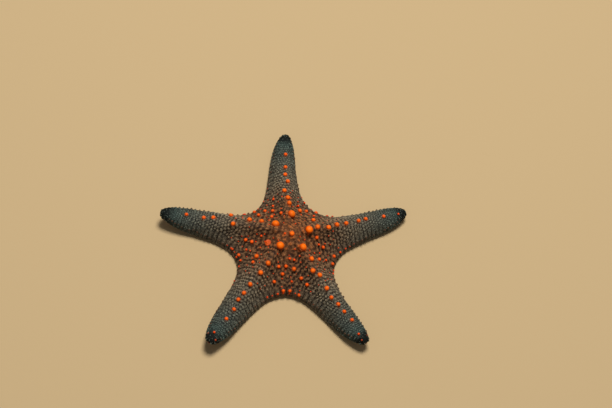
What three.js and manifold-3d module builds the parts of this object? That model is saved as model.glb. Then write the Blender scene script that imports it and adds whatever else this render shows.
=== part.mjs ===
// A knobbed cushion sea star, life size, lying on its oral side with its arm tips curled a little upward.
// Millimetres, +Z up. The origin is on the floor under the middle of the star's outline box; the first arm
// points along +Y and the others follow clockwise, seen from above.
//
// The body is worked out first as an ideal five-rayed star, each arm in a frame of its own: "reach" runs along
// the arm from the disc's centre, and "side" across it, positive towards the arm before it. pose() then turns,
// lengthens, bends and lifts the arms as this animal holds them.

import * as THREE from "three";
import { mergeVertices } from "three/addons/utils/BufferGeometryUtils.js";
import Module from "manifold-3d";

const wasm = await Module();
wasm.setup();

// ---------------------------------------------------------------- driving dimensions

const ARM_COUNT = 5;
const ARM_REACH = 100; // disc centre to arm tip, in the ideal star
const NOTCH_REACH = 39.6; // disc centre to the notch between two arms
const ARM_STEP = 360 / ARM_COUNT; // degrees from arm to arm in the ideal star
const HALF_SECTOR = Math.PI / ARM_COUNT;

// Half width of an arm: a straight taper, a flare into the notch and a blunt nose.
const MID_HALF_WIDTH = 11.9;
const MID_REACH = 53;
const TAPER = 0.097;
const FLARE_LENGTH = 7.6;
const NOSE_LENGTH = 24;
const NOSE_POWER = 2.3;

// Heights: the rounded margin, the side wall above it, the keel of each arm, and the gently domed crown.
const MARGIN_HEIGHT = 3.5;
const WALL_RISE = 3.2;
const WALL_WIDTH = 4.5;
const KEEL_RISE = 28;
const CROWN_HEIGHT = 33;
const CROWN_CURVE = 260; // at first the crown falls by reach squared over this
const CROWN_DROP = 20; // and in the end by no more than this
const CROWN_BLEND = 3; // how softly the keels run into the crown
const FOOT_CURVE = 3.2; // how far in the margin turns under before it meets the floor
const RIM_SHARE = 0.9999; // of the way out to the outline; past it a point is on the outline

// How this animal holds each arm: heading in degrees from +X, its own reach, its bend in degrees and its tip's
// lift. Root is the reach at which the arm is divided from the disc, clear of the knobs there.
const ARMS = [
  { heading: 92.5, reach: 98.5, bend: -5, lift: 6, root: 46 },
  { heading: 18, reach: 101, bend: 2, lift: 4, root: 43 },
  { heading: -55.5, reach: 100, bend: 2, lift: 7, root: 44.5 },
  { heading: -128.5, reach: 105, bend: 4, lift: 10, root: 43 },
  { heading: 162, reach: 101, bend: 7, lift: 10, root: 39.5 },
];
const BEND_START = 0.25; // share of the reach where the bend begins
const BEND_POWER = 1.5;
const LIFT_START = 0.6; // share of the reach where the sole leaves the floor
const RIGID_DISC = 20; // the reach inside which no arm is lengthened
const DISC_CENTRE = new THREE.Vector2(1.4, -6.7); // puts the outline box's middle at the origin

// Underside: a groove along each arm, meeting at the mouth.
const GROOVE_HALF_WIDTH = 3.2;
const GROOVE_TIP_SHARE = 0.4; // of that width and depth, at the groove's outer end
const GROOVE_DEPTH = 5;
const GROOVE_END = 95;
const GROOVE_ARCH = [[-1, -0.3], [1, -0.3], [1, 0.45], [0.4, 1], [-0.4, 1], [-1, 0.45]]; // half widths, depths
const MOUTH_RADIUS = 6.5;
const MOUTH_DEPTH = 8;
const MOUTH_PROFILE = [[0, -2], [1, -2], [1, 0.3], [0.85, 0.7], [0.5, 0.93], [0, 1]]; // in radii and depths

// Knobs, as radius at the foot. Their height is a share of that radius.
const KNOB_HEIGHT_SHARE = 1.05;
const KNOB_SINK = 1.2; // how deep a knob's foot is set in the body
const KNOB_UPRIGHT = 1; // the part of the vertical in a knob's axis, beside one part of the skin's normal
const PRIMARY_HEAD = [[1, 0.1], [0.88, 0.6], [0.5, 0.9]]; // [radius, height] up the head, as shares
const KNOB_HEAD = [[1, 0.1], [0.72, 0.72]];
const PRIMARY_RADIUS = 3.15;
const KEEL_KNOB_RADIUS = 2.35;
const KEEL_KNOB_SHRINK = 0.0105; // radius lost for each millimetre of reach
const TIP_KNOB_RADIUS = 0.95;
const TIP_KNOB_REACH = 88; // knobs past this reach are of the small tip kind
const CENTRE_KNOB_RADIUS = 2.1;
const PLATE_KNOB_RADII = { 2: 1.45, 3: 1.8 }; // those of size 1 are too small for the solids

// The five primary knobs round the crown, one for each arm: [reach, side].
const PRIMARY_KNOBS = [[17, -2], [15, -1], [15, 1], [13.5, 0.5], [12.8, -5.5]];
const CENTRE_KNOB = [1.8, 0];
const CENTRE_KNOB_ARM = 2;
// Knobs on each arm's keel: [reach, side].
const KEEL_KNOBS = [
  [[28, -1.5], [33.5, -1], [41, 1], [51, -2.2], [58, -0.5], [66, -1], [79, -1]],
  [[22.8, 0], [31.5, -1.5], [39, -0.5], [47, -0.5], [58, 0], [64.5, 0.5], [80, -0.5], [92.5, -1.5]],
  [[25.5, 2], [33.5, -2], [39, 0.5], [50, -0.5], [57.5, -1.5], [64.5, 0], [71.5, 0.5], [80, 1.5], [92, -1.5]],
  [[29, 1.5], [37.5, 1.5], [48.5, 0.5], [56, 0.5], [62, 0], [69.5, 1.5], [78.5, 1], [92.5, -0.5]],
  [[24, -6.5], [33, -3.5], [44, 2.4], [47.9, -6.2], [60, -0.5], [67, 0.5], [80.5, 0]],
];
// Where the small plates between the keels can carry a knob, as [reach, side] in each half arm, and which do:
// one word for each half arm, first the side towards the arm before, with a size from 1 to 3 or a dot for none.
const PLATES = [[20.5, 6], [26, 10.5], [31, 9.8], [37.5, 9], [28, 16.2], [32, 20.2], [19.5, 12], [38.5, 16]];
const PLATE_KNOBS = [
  [".2112.2.", ".31.2..1"],
  ["....12..", "2......1"],
  [".2..12.1", "..2212.2"],
  [".....22.", ".32..1.."],
  ["122.12.1", "....22.1"],
];
// Knobs off those rows: [arm, reach, side, size].
const STRAY_KNOBS = [
  [0, 20.4, 4.8, 2], [1, 24.8, 10.7, 3], [1, 21.2, -10.4, 1], [1, 24.4, -12.4, 2], [1, 32, -18.8, 2],
  [2, 22.4, -10.8, 3], [2, 14.8, -10, 1], [2, 17.6, -7.6, 1], [3, 23.6, 8, 2], [3, 24.8, 13.2, 2],
  [3, 32.8, 11.6, 2], [4, 3.6, 2, 1],
];

// Divisions between the nodes.
const DIVISION_GAP = 0.3;
const FLOOR_CLEARANCE = 2; // how far a dividing box reaches below the floor
const TIP_ROOT_REACH = 94.8;

// The sieve plate, off centre in the valley between arms 4 and 5.
const SIEVE_ARM = 3;
const SIEVE_REACH = 17.2;
const SIEVE_RADIUS = 2.6;
const SIEVE_RISE = 1.0;
const SIEVE_SINK = 1.6;
const SIEVE_HEAD = [[1, 0.45], [0.75, 0.9], [0, 1]]; // in radii and rises

// The eyespot at the end of each arm, and the five jaws round the mouth.
const EYE_RADIUS = 1.0;
const EYE_REACH = 99.6;
const EYE_HEIGHT = 2.6;
const JAW_START = 5;
const JAW_END = 12.5;
const JAW_HEIGHT = 2.1;
const JAW_WIDTH = 12;

// Facets.
const STATIONS = 13; // cross lines of a half arm, from the disc's centre to the tip
const TOP_SHARES = [0, 0.16, 0.36, 0.6, 0.84, 1]; // where points sit on a cross line, keel to margin
const FOOT_INSETS = [0.8, FOOT_CURVE]; // and under the margin, before the sole
const FOOT_MOST = 0.6; // of a cross line, so that they stay in order near the tip
const OUTLINE_STEPS = 300;
const KNOB_SIDES = [[3, 7], [1.9, 6], [0, 5]]; // [least radius, sides]
const GROOVE_STATIONS = 9;
const MOUTH_SIDES = 10;
const SIEVE_SIDES = 12;
const EYE_SIDES = 8;
const EYE_RINGS = 4;
const SLOPE_STEP = 1.2; // either side of a point, to find the slope there
const MERGE_DISTANCE = 1e-4;

const ARM_SKIN = { color: 0x5a4d3e, roughness: 0.85, metalness: 0 };
const DISC_SKIN = { color: 0x6e4a30, roughness: 0.85, metalness: 0 };
const TIP_SKIN = { color: 0x27342a, roughness: 0.8, metalness: 0 };
const SIEVE_FINISH = { color: 0xb8693a, roughness: 0.7, metalness: 0 };
const EYE_FINISH = { color: 0x9c1f10, roughness: 0.35, metalness: 0 };
const JAW_FINISH = { color: 0xc98a4b, roughness: 0.8, metalness: 0 };

// ---------------------------------------------------------------- the ideal star

const quarterRound = (share) => Math.sqrt(1 - (1 - Math.min(Math.max(share, 0), 1)) ** 2);
const smooth = (share) => share * share * (3 - 2 * share);

const NOTCH = new THREE.Vector2(NOTCH_REACH * Math.cos(HALF_SECTOR), NOTCH_REACH * Math.sin(HALF_SECTOR));

function halfWidth(reach) {
  const straight = (at) => MID_HALF_WIDTH - TAPER * (at - MID_REACH);
  const flare = (NOTCH.y - straight(NOTCH.x)) * Math.exp(-(reach - NOTCH.x) / FLARE_LENGTH);
  const nose = Math.max(0, (reach - (ARM_REACH - NOSE_LENGTH)) / NOSE_LENGTH);
  return (straight(reach) + flare) * Math.max(0, 1 - nose ** NOSE_POWER) ** (1 / NOSE_POWER);
}

// A point of the margin, from the notch at share 0 to the arm's tip at share 1, closer set at both ends.
function marginAt(share) {
  const reach = NOTCH.x + ((ARM_REACH - NOTCH.x) * (1 - Math.cos(Math.PI * share))) / 2;
  return new THREE.Vector2(reach, share === 1 ? 0 : halfWidth(reach));
}

const OUTLINE = Array.from({ length: OUTLINE_STEPS + 1 }, (_, i) => marginAt(i / OUTLINE_STEPS));

// Distance from the centre to the outline, straight through a point.
function outlineReach(reach, side) {
  const angle = Math.atan2(side, reach);
  const after = OUTLINE.findIndex((p) => Math.atan2(p.y, p.x) <= angle);
  if (after <= 0) return OUTLINE[0].length();
  const [a, b] = [OUTLINE[after - 1], OUTLINE[after]];
  const [angleA, angleB] = [Math.atan2(a.y, a.x), Math.atan2(b.y, b.x)];
  return THREE.MathUtils.lerp(a.length(), b.length(), (angleA - angle) / (angleA - angleB));
}

const insetOf = (reach, side) => Math.min(...OUTLINE.map((p) => Math.hypot(p.x - reach, p.y - side)));

// Height of the upper side: wall and keel, run softly into the crown.
function topHeight(reach, side) {
  const across = Math.abs(side);
  const far = Math.hypot(reach, across);
  const share = Math.min(1, far / outlineReach(reach, across));
  const inset = share > RIM_SHARE ? 0 : insetOf(reach, across);
  const keel = MARGIN_HEIGHT + WALL_RISE * quarterRound(inset / WALL_WIDTH) + KEEL_RISE * (1 - share);
  const crown = CROWN_HEIGHT - CROWN_DROP * (1 - Math.exp(-(far ** 2) / (CROWN_CURVE * CROWN_DROP)));
  return -CROWN_BLEND * Math.log(Math.exp(-keel / CROWN_BLEND) + Math.exp(-crown / CROWN_BLEND));
}

// Height of the underside near the margin, where it turns up from the floor.
const footHeight = (inset) => MARGIN_HEIGHT * (1 - quarterRound(inset / FOOT_CURVE));

// ---------------------------------------------------------------- the pose

const idealHeading = (arm) => 90 - ARM_STEP * arm;
const wrapped = (degrees) => THREE.MathUtils.euclideanModulo(degrees + 180, 360) - 180;

function tipLift(arm, reach) {
  const share = Math.max(0, (reach / ARM_REACH - LIFT_START) / (1 - LIFT_START));
  return ARMS[arm].lift * share ** 2;
}

// A point given in an arm's frame, where this animal holds it. Between two arms the pose passes smoothly from
// one to the other.
function pose(arm, reach, side, height) {
  const far = Math.hypot(reach, side);
  const heading = idealHeading(arm) + THREE.MathUtils.radToDeg(Math.atan2(side, reach));
  let [total, turn, stretch, bend] = [0, 0, 0, 0];
  ARMS.forEach((held, k) => {
    const weight = smooth(Math.max(0, 1 - Math.abs(wrapped(heading - idealHeading(k))) / ARM_STEP));
    total += weight;
    turn += weight * wrapped(held.heading - idealHeading(k));
    stretch += weight * (held.reach / ARM_REACH - 1);
    bend += weight * held.bend;
  });
  const bent = (bend / total) * Math.max(0, far / ARM_REACH - BEND_START) ** BEND_POWER;
  const angle = THREE.MathUtils.degToRad(heading + turn / total + bent);
  const free = Math.max(0, (far - RIGID_DISC) / (ARM_REACH - RIGID_DISC));
  const grown = far + (stretch / total) * ARM_REACH * free;
  return new THREE.Vector3(
    DISC_CENTRE.x + grown * Math.cos(angle),
    DISC_CENTRE.y + grown * Math.sin(angle),
    height + tipLift(arm, reach),
  );
}

// ---------------------------------------------------------------- making solids

// A closed solid from a geometry, with its shared points merged and its collapsed triangles dropped.
function solidOf(geometry) {
  geometry.deleteAttribute("normal");
  geometry.deleteAttribute("uv");
  const merged = mergeVertices(geometry, MERGE_DISTANCE);
  const kept = [];
  for (let i = 0; i < merged.index.count; i += 3) {
    const [a, b, c] = [0, 1, 2].map((n) => merged.index.getX(i + n));
    if (a !== b && b !== c && c !== a) kept.push(a, b, c);
  }
  return new wasm.Manifold(
    new wasm.Mesh({
      numProp: 3,
      vertProperties: Float32Array.from(merged.attributes.position.array),
      triVerts: Uint32Array.from(kept),
    }),
  );
}

// A body lofted through rings of points, each ring counter-clockwise as seen from beyond the last one, with flat
// ends.
function loft(rings) {
  const size = rings[0].length;
  const index = [];
  for (let i = 0; i + 1 < rings.length; i++) {
    for (let j = 0; j < size; j++) {
      const [a, b] = [i * size + j, i * size + ((j + 1) % size)];
      index.push(a, b, b + size, a, b + size, a + size);
    }
  }
  const last = (rings.length - 1) * size;
  for (let j = 1; j + 1 < size; j++) {
    index.push(0, j + 1, j);
    index.push(last, last + j, last + j + 1);
  }
  const geometry = new THREE.BufferGeometry().setFromPoints(rings.flat());
  return solidOf(geometry.setIndex(index));
}

// A body of revolution about +Z from a profile of [radius, height], lowest first.
function turned(profile, sides, matrix) {
  const points = profile.map(([radius, height]) => new THREE.Vector2(radius, height));
  return solidOf(new THREE.LatheGeometry(points, sides).rotateX(Math.PI / 2).applyMatrix4(matrix));
}

// A place on the upper side, with +Z along the outward normal, or turned from it towards the vertical.
function seat(arm, reach, side, upright = 0) {
  const at = (r, s) => pose(arm, r, s, topHeight(r, s));
  const along = at(reach + SLOPE_STEP, side).sub(at(reach - SLOPE_STEP, side));
  const across = at(reach, side + SLOPE_STEP).sub(at(reach, side - SLOPE_STEP));
  const vertical = new THREE.Vector3(0, 0, 1);
  const axis = along.cross(across).normalize().addScaledVector(vertical, upright).normalize();
  const turn = new THREE.Quaternion().setFromUnitVectors(vertical, axis);
  return new THREE.Matrix4().compose(at(reach, side), turn, new THREE.Vector3(1, 1, 1));
}

// A box that starts at a reach on an arm's axis and runs outward along it, from below the floor to a height.
function reachBox(heading, start, [length, width, height]) {
  const box = new THREE.BoxGeometry(length, width, height + FLOOR_CLEARANCE);
  box.translate(length / 2, 0, (height - FLOOR_CLEARANCE) / 2);
  box.rotateZ(heading);
  return solidOf(box.translate(start.x, start.y, 0));
}

// ---------------------------------------------------------------- the body

// Half an arm's grid of ideal points: cross lines that run from the arm's axis out to the margin, over the top,
// and back to the axis under the sole.
function halfArmLines() {
  return Array.from({ length: STATIONS + 1 }, (_, i) => {
    const axis = new THREE.Vector2(ARM_REACH * Math.sin((i / STATIONS) * (Math.PI / 2)), 0);
    const margin = marginAt(i / STATIONS);
    const length = axis.distanceTo(margin);
    const over = TOP_SHARES.map((share) => {
      const p = axis.clone().lerp(margin, share);
      return [p.x, p.y, share === 1 ? MARGIN_HEIGHT : topHeight(p.x, p.y)];
    });
    const under = [...FOOT_INSETS.map((inset, n) => Math.min(inset / length, (FOOT_MOST * (n + 1)) / 2)), 1];
    return over.concat(
      under.map((share) => {
        const p = margin.clone().lerp(axis, length === 0 ? 1 : share);
        return [p.x, p.y, footHeight(insetOf(p.x, p.y))];
      }),
    );
  });
}

function bodySolid() {
  const lines = halfArmLines();
  const width = lines[0].length;
  const points = [];
  const index = [];
  for (let arm = 0; arm < ARM_COUNT; arm++) {
    for (const hand of [1, -1]) {
      const first = points.length;
      lines.flat().forEach(([reach, side, height]) => points.push(pose(arm, reach, hand * side, height)));
      for (let i = 0; i < STATIONS; i++) {
        for (let j = 0; j + 1 < width; j++) {
          const [a, b] = [first + i * width + j, first + (i + 1) * width + j];
          if (hand > 0) index.push(a, b, b + 1, a, b + 1, a + 1);
          else index.push(a, b + 1, b, a, a + 1, b + 1);
        }
      }
    }
  }
  return solidOf(new THREE.BufferGeometry().setFromPoints(points).setIndex(index));
}

// The space of one arm's groove, an arch that narrows and flattens towards the tip.
function grooveSpace(arm) {
  return loft(
    Array.from({ length: GROOVE_STATIONS + 1 }, (_, i) => {
      const share = i / GROOVE_STATIONS;
      const scale = THREE.MathUtils.lerp(1, GROOVE_TIP_SHARE, share);
      return GROOVE_ARCH.map(([side, height]) =>
        pose(arm, share * GROOVE_END, side * scale * GROOVE_HALF_WIDTH, height * scale * GROOVE_DEPTH),
      );
    }),
  );
}

function mouthSpace() {
  const profile = MOUTH_PROFILE.map(([radius, height]) => [radius * MOUTH_RADIUS, height * MOUTH_DEPTH]);
  return turned(profile, MOUTH_SIDES, new THREE.Matrix4().makeTranslation(DISC_CENTRE.x, DISC_CENTRE.y, 0));
}

// A knob: a short shank set in the body, then a rounded head.
function knob(arm, [reach, side], radius) {
  const sides = KNOB_SIDES.find(([least]) => radius >= least)[1];
  const height = radius * KNOB_HEIGHT_SHARE;
  const head = radius === PRIMARY_RADIUS ? PRIMARY_HEAD : KNOB_HEAD;
  const profile = [[0, -KNOB_SINK], [radius, -KNOB_SINK]];
  head.forEach(([r, h]) => profile.push([r * radius, h * height]));
  return turned([...profile, [0, height]], sides, seat(arm, reach, side, KNOB_UPRIGHT));
}

function keelKnobRadius(reach) {
  return reach > TIP_KNOB_REACH ? TIP_KNOB_RADIUS : KEEL_KNOB_RADIUS - KEEL_KNOB_SHRINK * reach;
}

// An arm's small knobs, those on the plates and those off them: [reach, side, size].
function smallKnobs(arm) {
  const onPlates = PLATE_KNOBS[arm].flatMap((sizes, n) => {
    const hand = n === 0 ? 1 : -1;
    return PLATES.map(([reach, side], i) => [reach, hand * side, sizes[i]]);
  });
  return [...onPlates, ...STRAY_KNOBS.filter((row) => row[0] === arm).map((row) => row.slice(1))];
}

function knobsOf(arm) {
  const knobs = [knob(arm, PRIMARY_KNOBS[arm], PRIMARY_RADIUS)];
  KEEL_KNOBS[arm].forEach((place) => knobs.push(knob(arm, place, keelKnobRadius(place[0]))));
  smallKnobs(arm).forEach(([reach, side, size]) => {
    const radius = PLATE_KNOB_RADII[size];
    if (radius) knobs.push(knob(arm, [reach, side], radius));
  });
  return knobs;
}

// ---------------------------------------------------------------- dividing it

const headingOf = (arm) => THREE.MathUtils.degToRad(ARMS[arm].heading);

// What lies past a reach on one arm, starting a little later or earlier to leave a gap.
function beyond(arm, reach, gap) {
  const start = pose(arm, reach + gap, 0, 0);
  return reachBox(headingOf(arm), start, [ARM_REACH, 2 * NOTCH_REACH, CROWN_HEIGHT]);
}

function jawSpace(arm, gap) {
  const inner = pose(arm, 0, 0, 0);
  const valley = pose(arm, NOTCH.x, -NOTCH.y, 0).sub(inner);
  const heading = Math.atan2(valley.y, valley.x);
  const outward = new THREE.Vector3(Math.cos(heading), Math.sin(heading), 0);
  const start = inner.clone().addScaledVector(outward, JAW_START);
  return reachBox(heading, start, [JAW_END - JAW_START + gap, JAW_WIDTH, JAW_HEIGHT + gap]);
}

// The eyespot's bead, or the hollow it sits in.
function eyeBead(arm, gap) {
  const centre = pose(arm, EYE_REACH, 0, EYE_HEIGHT);
  const bead = new THREE.SphereGeometry(EYE_RADIUS + gap, EYE_SIDES, EYE_RINGS);
  return solidOf(bead.translate(centre.x, centre.y, centre.z));
}

function sievePlate(gap) {
  const radius = SIEVE_RADIUS + gap;
  const profile = [[0, -SIEVE_SINK - gap], [radius, -SIEVE_SINK - gap]];
  SIEVE_HEAD.forEach(([r, h]) => profile.push([r * radius, h * SIEVE_RISE + gap]));
  const [reach, side] = [SIEVE_REACH * Math.cos(HALF_SECTOR), -SIEVE_REACH * Math.sin(HALF_SECTOR)];
  return turned(profile, SIEVE_SIDES, seat(SIEVE_ARM, reach, side));
}

function node(name, solid, finish) {
  const { vertProperties, triVerts } = solid.getMesh();
  const geometry = new THREE.BufferGeometry();
  geometry.setAttribute("position", new THREE.BufferAttribute(vertProperties, 3));
  geometry.setIndex(new THREE.BufferAttribute(triVerts, 1));
  geometry.computeVertexNormals();
  const mesh = new THREE.Mesh(geometry, new THREE.MeshStandardMaterial(finish));
  mesh.name = name;
  return mesh;
}

function seaStar() {
  const arms = [...ARMS.keys()];
  const spaces = [...arms.map(grooveSpace), mouthSpace()];
  const body = wasm.Manifold.union([
    spaces.reduce((solid, space) => solid.subtract(space), bodySolid()),
    ...arms.flatMap(knobsOf),
    knob(CENTRE_KNOB_ARM, CENTRE_KNOB, CENTRE_KNOB_RADIUS),
  ]);

  const star = new THREE.Group();
  const half = DIVISION_GAP / 2;
  let disc = body.subtract(sievePlate(DIVISION_GAP));
  arms.forEach((arm) => {
    const number = arm + 1;
    const whole = body.intersect(beyond(arm, ARMS[arm].root, half));
    const end = beyond(arm, TIP_ROOT_REACH, half);
    star.add(node(`arm_${number}`, whole.subtract(beyond(arm, TIP_ROOT_REACH, -half)), ARM_SKIN));
    star.add(node(`arm_${number}_tip`, whole.intersect(end).subtract(eyeBead(arm, DIVISION_GAP)), TIP_SKIN));
    star.add(node(`eye_${number}`, eyeBead(arm, 0), EYE_FINISH));
    star.add(node(`jaw_${number}`, body.intersect(jawSpace(arm, 0)), JAW_FINISH));
    disc = disc.subtract(beyond(arm, ARMS[arm].root, -half)).subtract(jawSpace(arm, DIVISION_GAP));
  });
  star.add(node("disc", disc, DISC_SKIN));
  star.add(node("sieve_plate", sievePlate(0), SIEVE_FINISH));
  return star;
}

export default seaStar();
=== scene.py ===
"""A knobbed cushion sea star, life size, lying on its underside with its arm tips curled a little upward.

Shapes are worked out in millimetres on an ideal five-rayed star and then posed. "Reach" runs from the
disc's centre out along an arm and "side" across it, positive towards the arm before it. A "hand" is
either half of an arm: 1 for the half with positive sides, -1 for the other.
"""

import bpy
import numpy as np
from mathutils import Matrix, Vector


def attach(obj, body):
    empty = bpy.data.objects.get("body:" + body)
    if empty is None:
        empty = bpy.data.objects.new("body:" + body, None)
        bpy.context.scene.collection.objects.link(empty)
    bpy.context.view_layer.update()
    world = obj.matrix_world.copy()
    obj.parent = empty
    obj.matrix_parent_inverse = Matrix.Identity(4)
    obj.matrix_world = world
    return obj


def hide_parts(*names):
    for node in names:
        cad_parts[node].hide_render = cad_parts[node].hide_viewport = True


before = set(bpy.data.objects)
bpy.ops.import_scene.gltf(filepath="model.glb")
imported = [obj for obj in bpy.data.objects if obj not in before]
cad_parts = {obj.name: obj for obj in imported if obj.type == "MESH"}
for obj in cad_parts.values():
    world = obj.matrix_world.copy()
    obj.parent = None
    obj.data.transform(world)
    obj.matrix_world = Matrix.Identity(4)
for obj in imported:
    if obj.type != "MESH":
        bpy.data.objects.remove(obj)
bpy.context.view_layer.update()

MM = 0.001

# ---------------------------------------------------------------- the star's own sizes, in millimetres

ARMS = 5
HANDS = [(arm, hand) for arm in range(ARMS) for hand in (1, -1)]  # the two halves of every arm
ARM_STEP = 360 / ARMS  # degrees
HALF_SECTOR = np.pi / ARMS
ARM_REACH = 100
NOTCH_REACH = 39.6
MID_REACH, MID_HALF_WIDTH = 53, 11.9
TAPER = 0.097
FLARE_LENGTH = 7.6
NOSE_LENGTH, NOSE_POWER = 24, 2.3

MARGIN_HEIGHT = 3.5
WALL_RISE, WALL_WIDTH = 3.2, 4.5
KEEL_RISE = 28
CROWN_HEIGHT, CROWN_CURVE, CROWN_DROP, CROWN_BLEND = 33, 260, 20, 3
FOOT_CURVE = 3.2

# Each arm as held: heading in degrees, reach, bend in degrees, lift of the tip.
HEADINGS = np.array([92.5, 18, -55.5, -128.5, 162])
REACHES = np.array([98.5, 101, 100, 105, 101])
BENDS = np.array([-5, 2, 2, 4, 7])
LIFTS = np.array([6, 4, 7, 10, 10])
IDEAL_HEADINGS = 90 - ARM_STEP * np.arange(ARMS)
BEND_START, BEND_POWER = 0.25, 1.5
LIFT_START = 0.6
RIGID_DISC = 20
DISC_CENTRE = np.array([1.4, -6.7])

GROOVE_HALF_WIDTH, GROOVE_DEPTH = 3.2, 5  # at the mouth
GROOVE_TIP_SHARE = 0.4
GROOVE_END, GROOVE_FADE = 95, 4
GROOVE_ROOF = 0.35  # the share of a groove's width that is level
MOUTH_RADIUS, MOUTH_DEPTH = 6.5, 8

# Knobs, as in the frame: the five primary ones, those of each keel, and those of the plates between the
# keels.
KNOB_UPRIGHT = 1  # the part of the vertical in a knob's axis, beside one part of the skin's normal
PRIMARY_RADIUS = 3.15
KEEL_KNOB_RADIUS, KEEL_KNOB_SHRINK = 2.35, 0.0105
TIP_KNOB_RADIUS, TIP_KNOB_REACH = 0.95, 88
CENTRE_KNOB_RADIUS = 2.1
PLATE_KNOB_RADII = {"1": 1.0, "2": 1.45, "3": 1.8}
PRIMARY_KNOBS = [(17, -2), (15, -1), (15, 1), (13.5, 0.5), (12.8, -5.5)]
CENTRE_KNOB_ARM, CENTRE_KNOB = 2, (1.8, 0)
KEEL_KNOBS = [
    [(28, -1.5), (33.5, -1), (41, 1), (51, -2.2), (58, -0.5), (66, -1), (79, -1)],
    [(22.8, 0), (31.5, -1.5), (39, -0.5), (47, -0.5), (58, 0), (64.5, 0.5), (80, -0.5), (92.5, -1.5)],
    [(25.5, 2), (33.5, -2), (39, 0.5), (50, -0.5), (57.5, -1.5), (64.5, 0), (71.5, 0.5), (80, 1.5),
     (92, -1.5)],
    [(29, 1.5), (37.5, 1.5), (48.5, 0.5), (56, 0.5), (62, 0), (69.5, 1.5), (78.5, 1), (92.5, -0.5)],
    [(24, -6.5), (33, -3.5), (44, 2.4), (47.9, -6.2), (60, -0.5), (67, 0.5), (80.5, 0)],
]
PLATES = [(20.5, 6), (26, 10.5), (31, 9.8), (37.5, 9), (28, 16.2), (32, 20.2), (19.5, 12), (38.5, 16)]
# The size of the knob on each plate of each arm's two hands, or a dot for none.
PLATE_KNOBS = [
    (".2112.2.", ".31.2..1"),
    ("....12..", "2......1"),
    (".2..12.1", "..2212.2"),
    (".....22.", ".32..1.."),
    ("122.12.1", "....22.1"),
]
# Knobs off those rows: arm, reach, side and size.
STRAY_KNOBS = [
    (0, 20.4, 4.8, "2"), (1, 24.8, 10.7, "3"), (1, 21.2, -10.4, "1"), (1, 24.4, -12.4, "2"),
    (1, 32, -18.8, "2"), (2, 22.4, -10.8, "3"), (2, 14.8, -10, "1"), (2, 17.6, -7.6, "1"),
    (3, 23.6, 8, "2"), (3, 24.8, 13.2, "2"), (3, 32.8, 11.6, "2"), (4, 3.6, 2, "1"),
]
# Dull little knobs at the ends of arms 3 and 4: arm, counted from 0, reach, side, foot radius and glow.
END_KNOBS = [(2, 97, -2.5, 0.85, 0.3), (2, 96, 3.6, 0.7, 0.2)]
END_KNOBS += [(3, 96.4, 3.2, 0.9, 0.3), (3, 95, -4, 0.75, 0.2)]

# The sieve plate's place, in the valley between arms 4 and 5, and the eyespots'.
SIEVE_ARM, SIEVE_REACH = 3, 17.2
SIEVE_RADIUS, SIEVE_RISE = 2.6, 1.0
# Furrows at the middle and after each fork; shares of the radius where they start, where they fork, and
# of the rim.
SIEVE_FURROWS, FURROW_DEPTH = (9, 18, 36), 0.26
FURROW_START, FURROW_FORKS, SIEVE_RIM = (0.04, 0.2), ((0.3, 0.45), (0.62, 0.78)), 0.93
EYE_REACH, EYE_HEIGHT, EYE_RADIUS = 99.6, 2.6, 1.0
EYE_LENSES = 26
LENS_EDGE, LENS_RISE = 0.93, 0.14  # cosine of a lens's half width, and its height as a share of the radius

# ---------------------------------------------------------------- sizes of the finish, in millimetres

# The skin's grid on half an arm.
STATIONS = 160  # along the arm
TOP_STEPS, SOLE_STEPS = 42, 6
MARGIN_INSETS = np.array([0.12, 0.45, 1.0, 1.7, 2.6, 3.7])  # columns just under the margin
MARGIN_COLUMNS_SHARE = 0.35  # the most of the underside that those take up near the tip
GROOVE_OFFSETS = np.array([4.4, 3.9, 3.5, 3.2, 2.9, 2.4, 1.7, 0.9, 0])  # columns about the groove
GROOVE_COLUMNS_SHARE = 0.5
OUTLINE_STEPS = 700
ARC_STEP, ARC_STEEPEST, ARC_END = 0.25, 0.8, 27  # of the lengths measured over the upper side

# How far the skin lies inside the solids, under the granules, and how much wider its grooves and mouth
# are.
TOP_COAT, SOLE_COAT = 0.4, 0.75
GROOVE_COAT, MOUTH_COAT = 0.35, 0.3
SOLE_RIM = 2.5  # the width over which those of the sole come in from the margin

# The net of bars and plates: its pitch at the centre, and the loss for each mm of reach. Widths are in
# pitches.
NET_PITCH, NET_SHRINK = 4.6, 0.031
ROW_STEP = 0.866  # an equal-sided triangle's height over its side
# Bars straight across and slanting ones: width, height over NET_RISE, how much that varies, and seed.
STRAIGHT_BARS, SLANTING_BARS, BAR_LUMP = (0.165, 0.85, 0.15, 33), (0.15, 0.55, 0.35, 34), 4.5
PLATE_EDGE, NET_START = (0.42, 0.2), (3.0, 4.4)
NET_SWAY, SWAY_SIZE = 0.5, 5  # how far the net wanders, and over what distance
SOLE_PITCH, SOLE_PLATE_EDGE, GROOVE_LIP = 3.4, (0.6, 0.42), 0.4
SIDEPLATE_END, SIDEPLATE_ROUND = (2.2, 3.0), 0.6  # distances from the groove, and share that is rounded
MARGIN_PITCH, MARGIN_SHRINK, MARGIN_BAND, MARGIN_ROUND = 4.4, 0.026, (3.0, 4.2), 0.8  # plates of the margin
NET_RISE, PLATE_RISE, PIT_DROP = 0.45, 0.2, 0.2  # of bars, of plates above them, and the depth of pits
NET_RISE_LOSS = 0.5  # by the tip
EDGE_RISE, EDGE_RISE_LOSS = 0.75, 0.25  # height of the margin's plates at the disc, and its loss by the tip
SOLE_RISE, FOLD_RISE, THROAT_DEPTH = 0.3, 0.22, 2.2
MOUTH_FOLDS = 30  # round the whole mouth
KNOB_SWELL, SWELL_SPREAD = 0.24, 1.45  # the skin's rise under a knob and its spread, over the knob's radius
BLUSH_MOST, BLUSH_SPREAD = 0.9, 1.5

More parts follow.
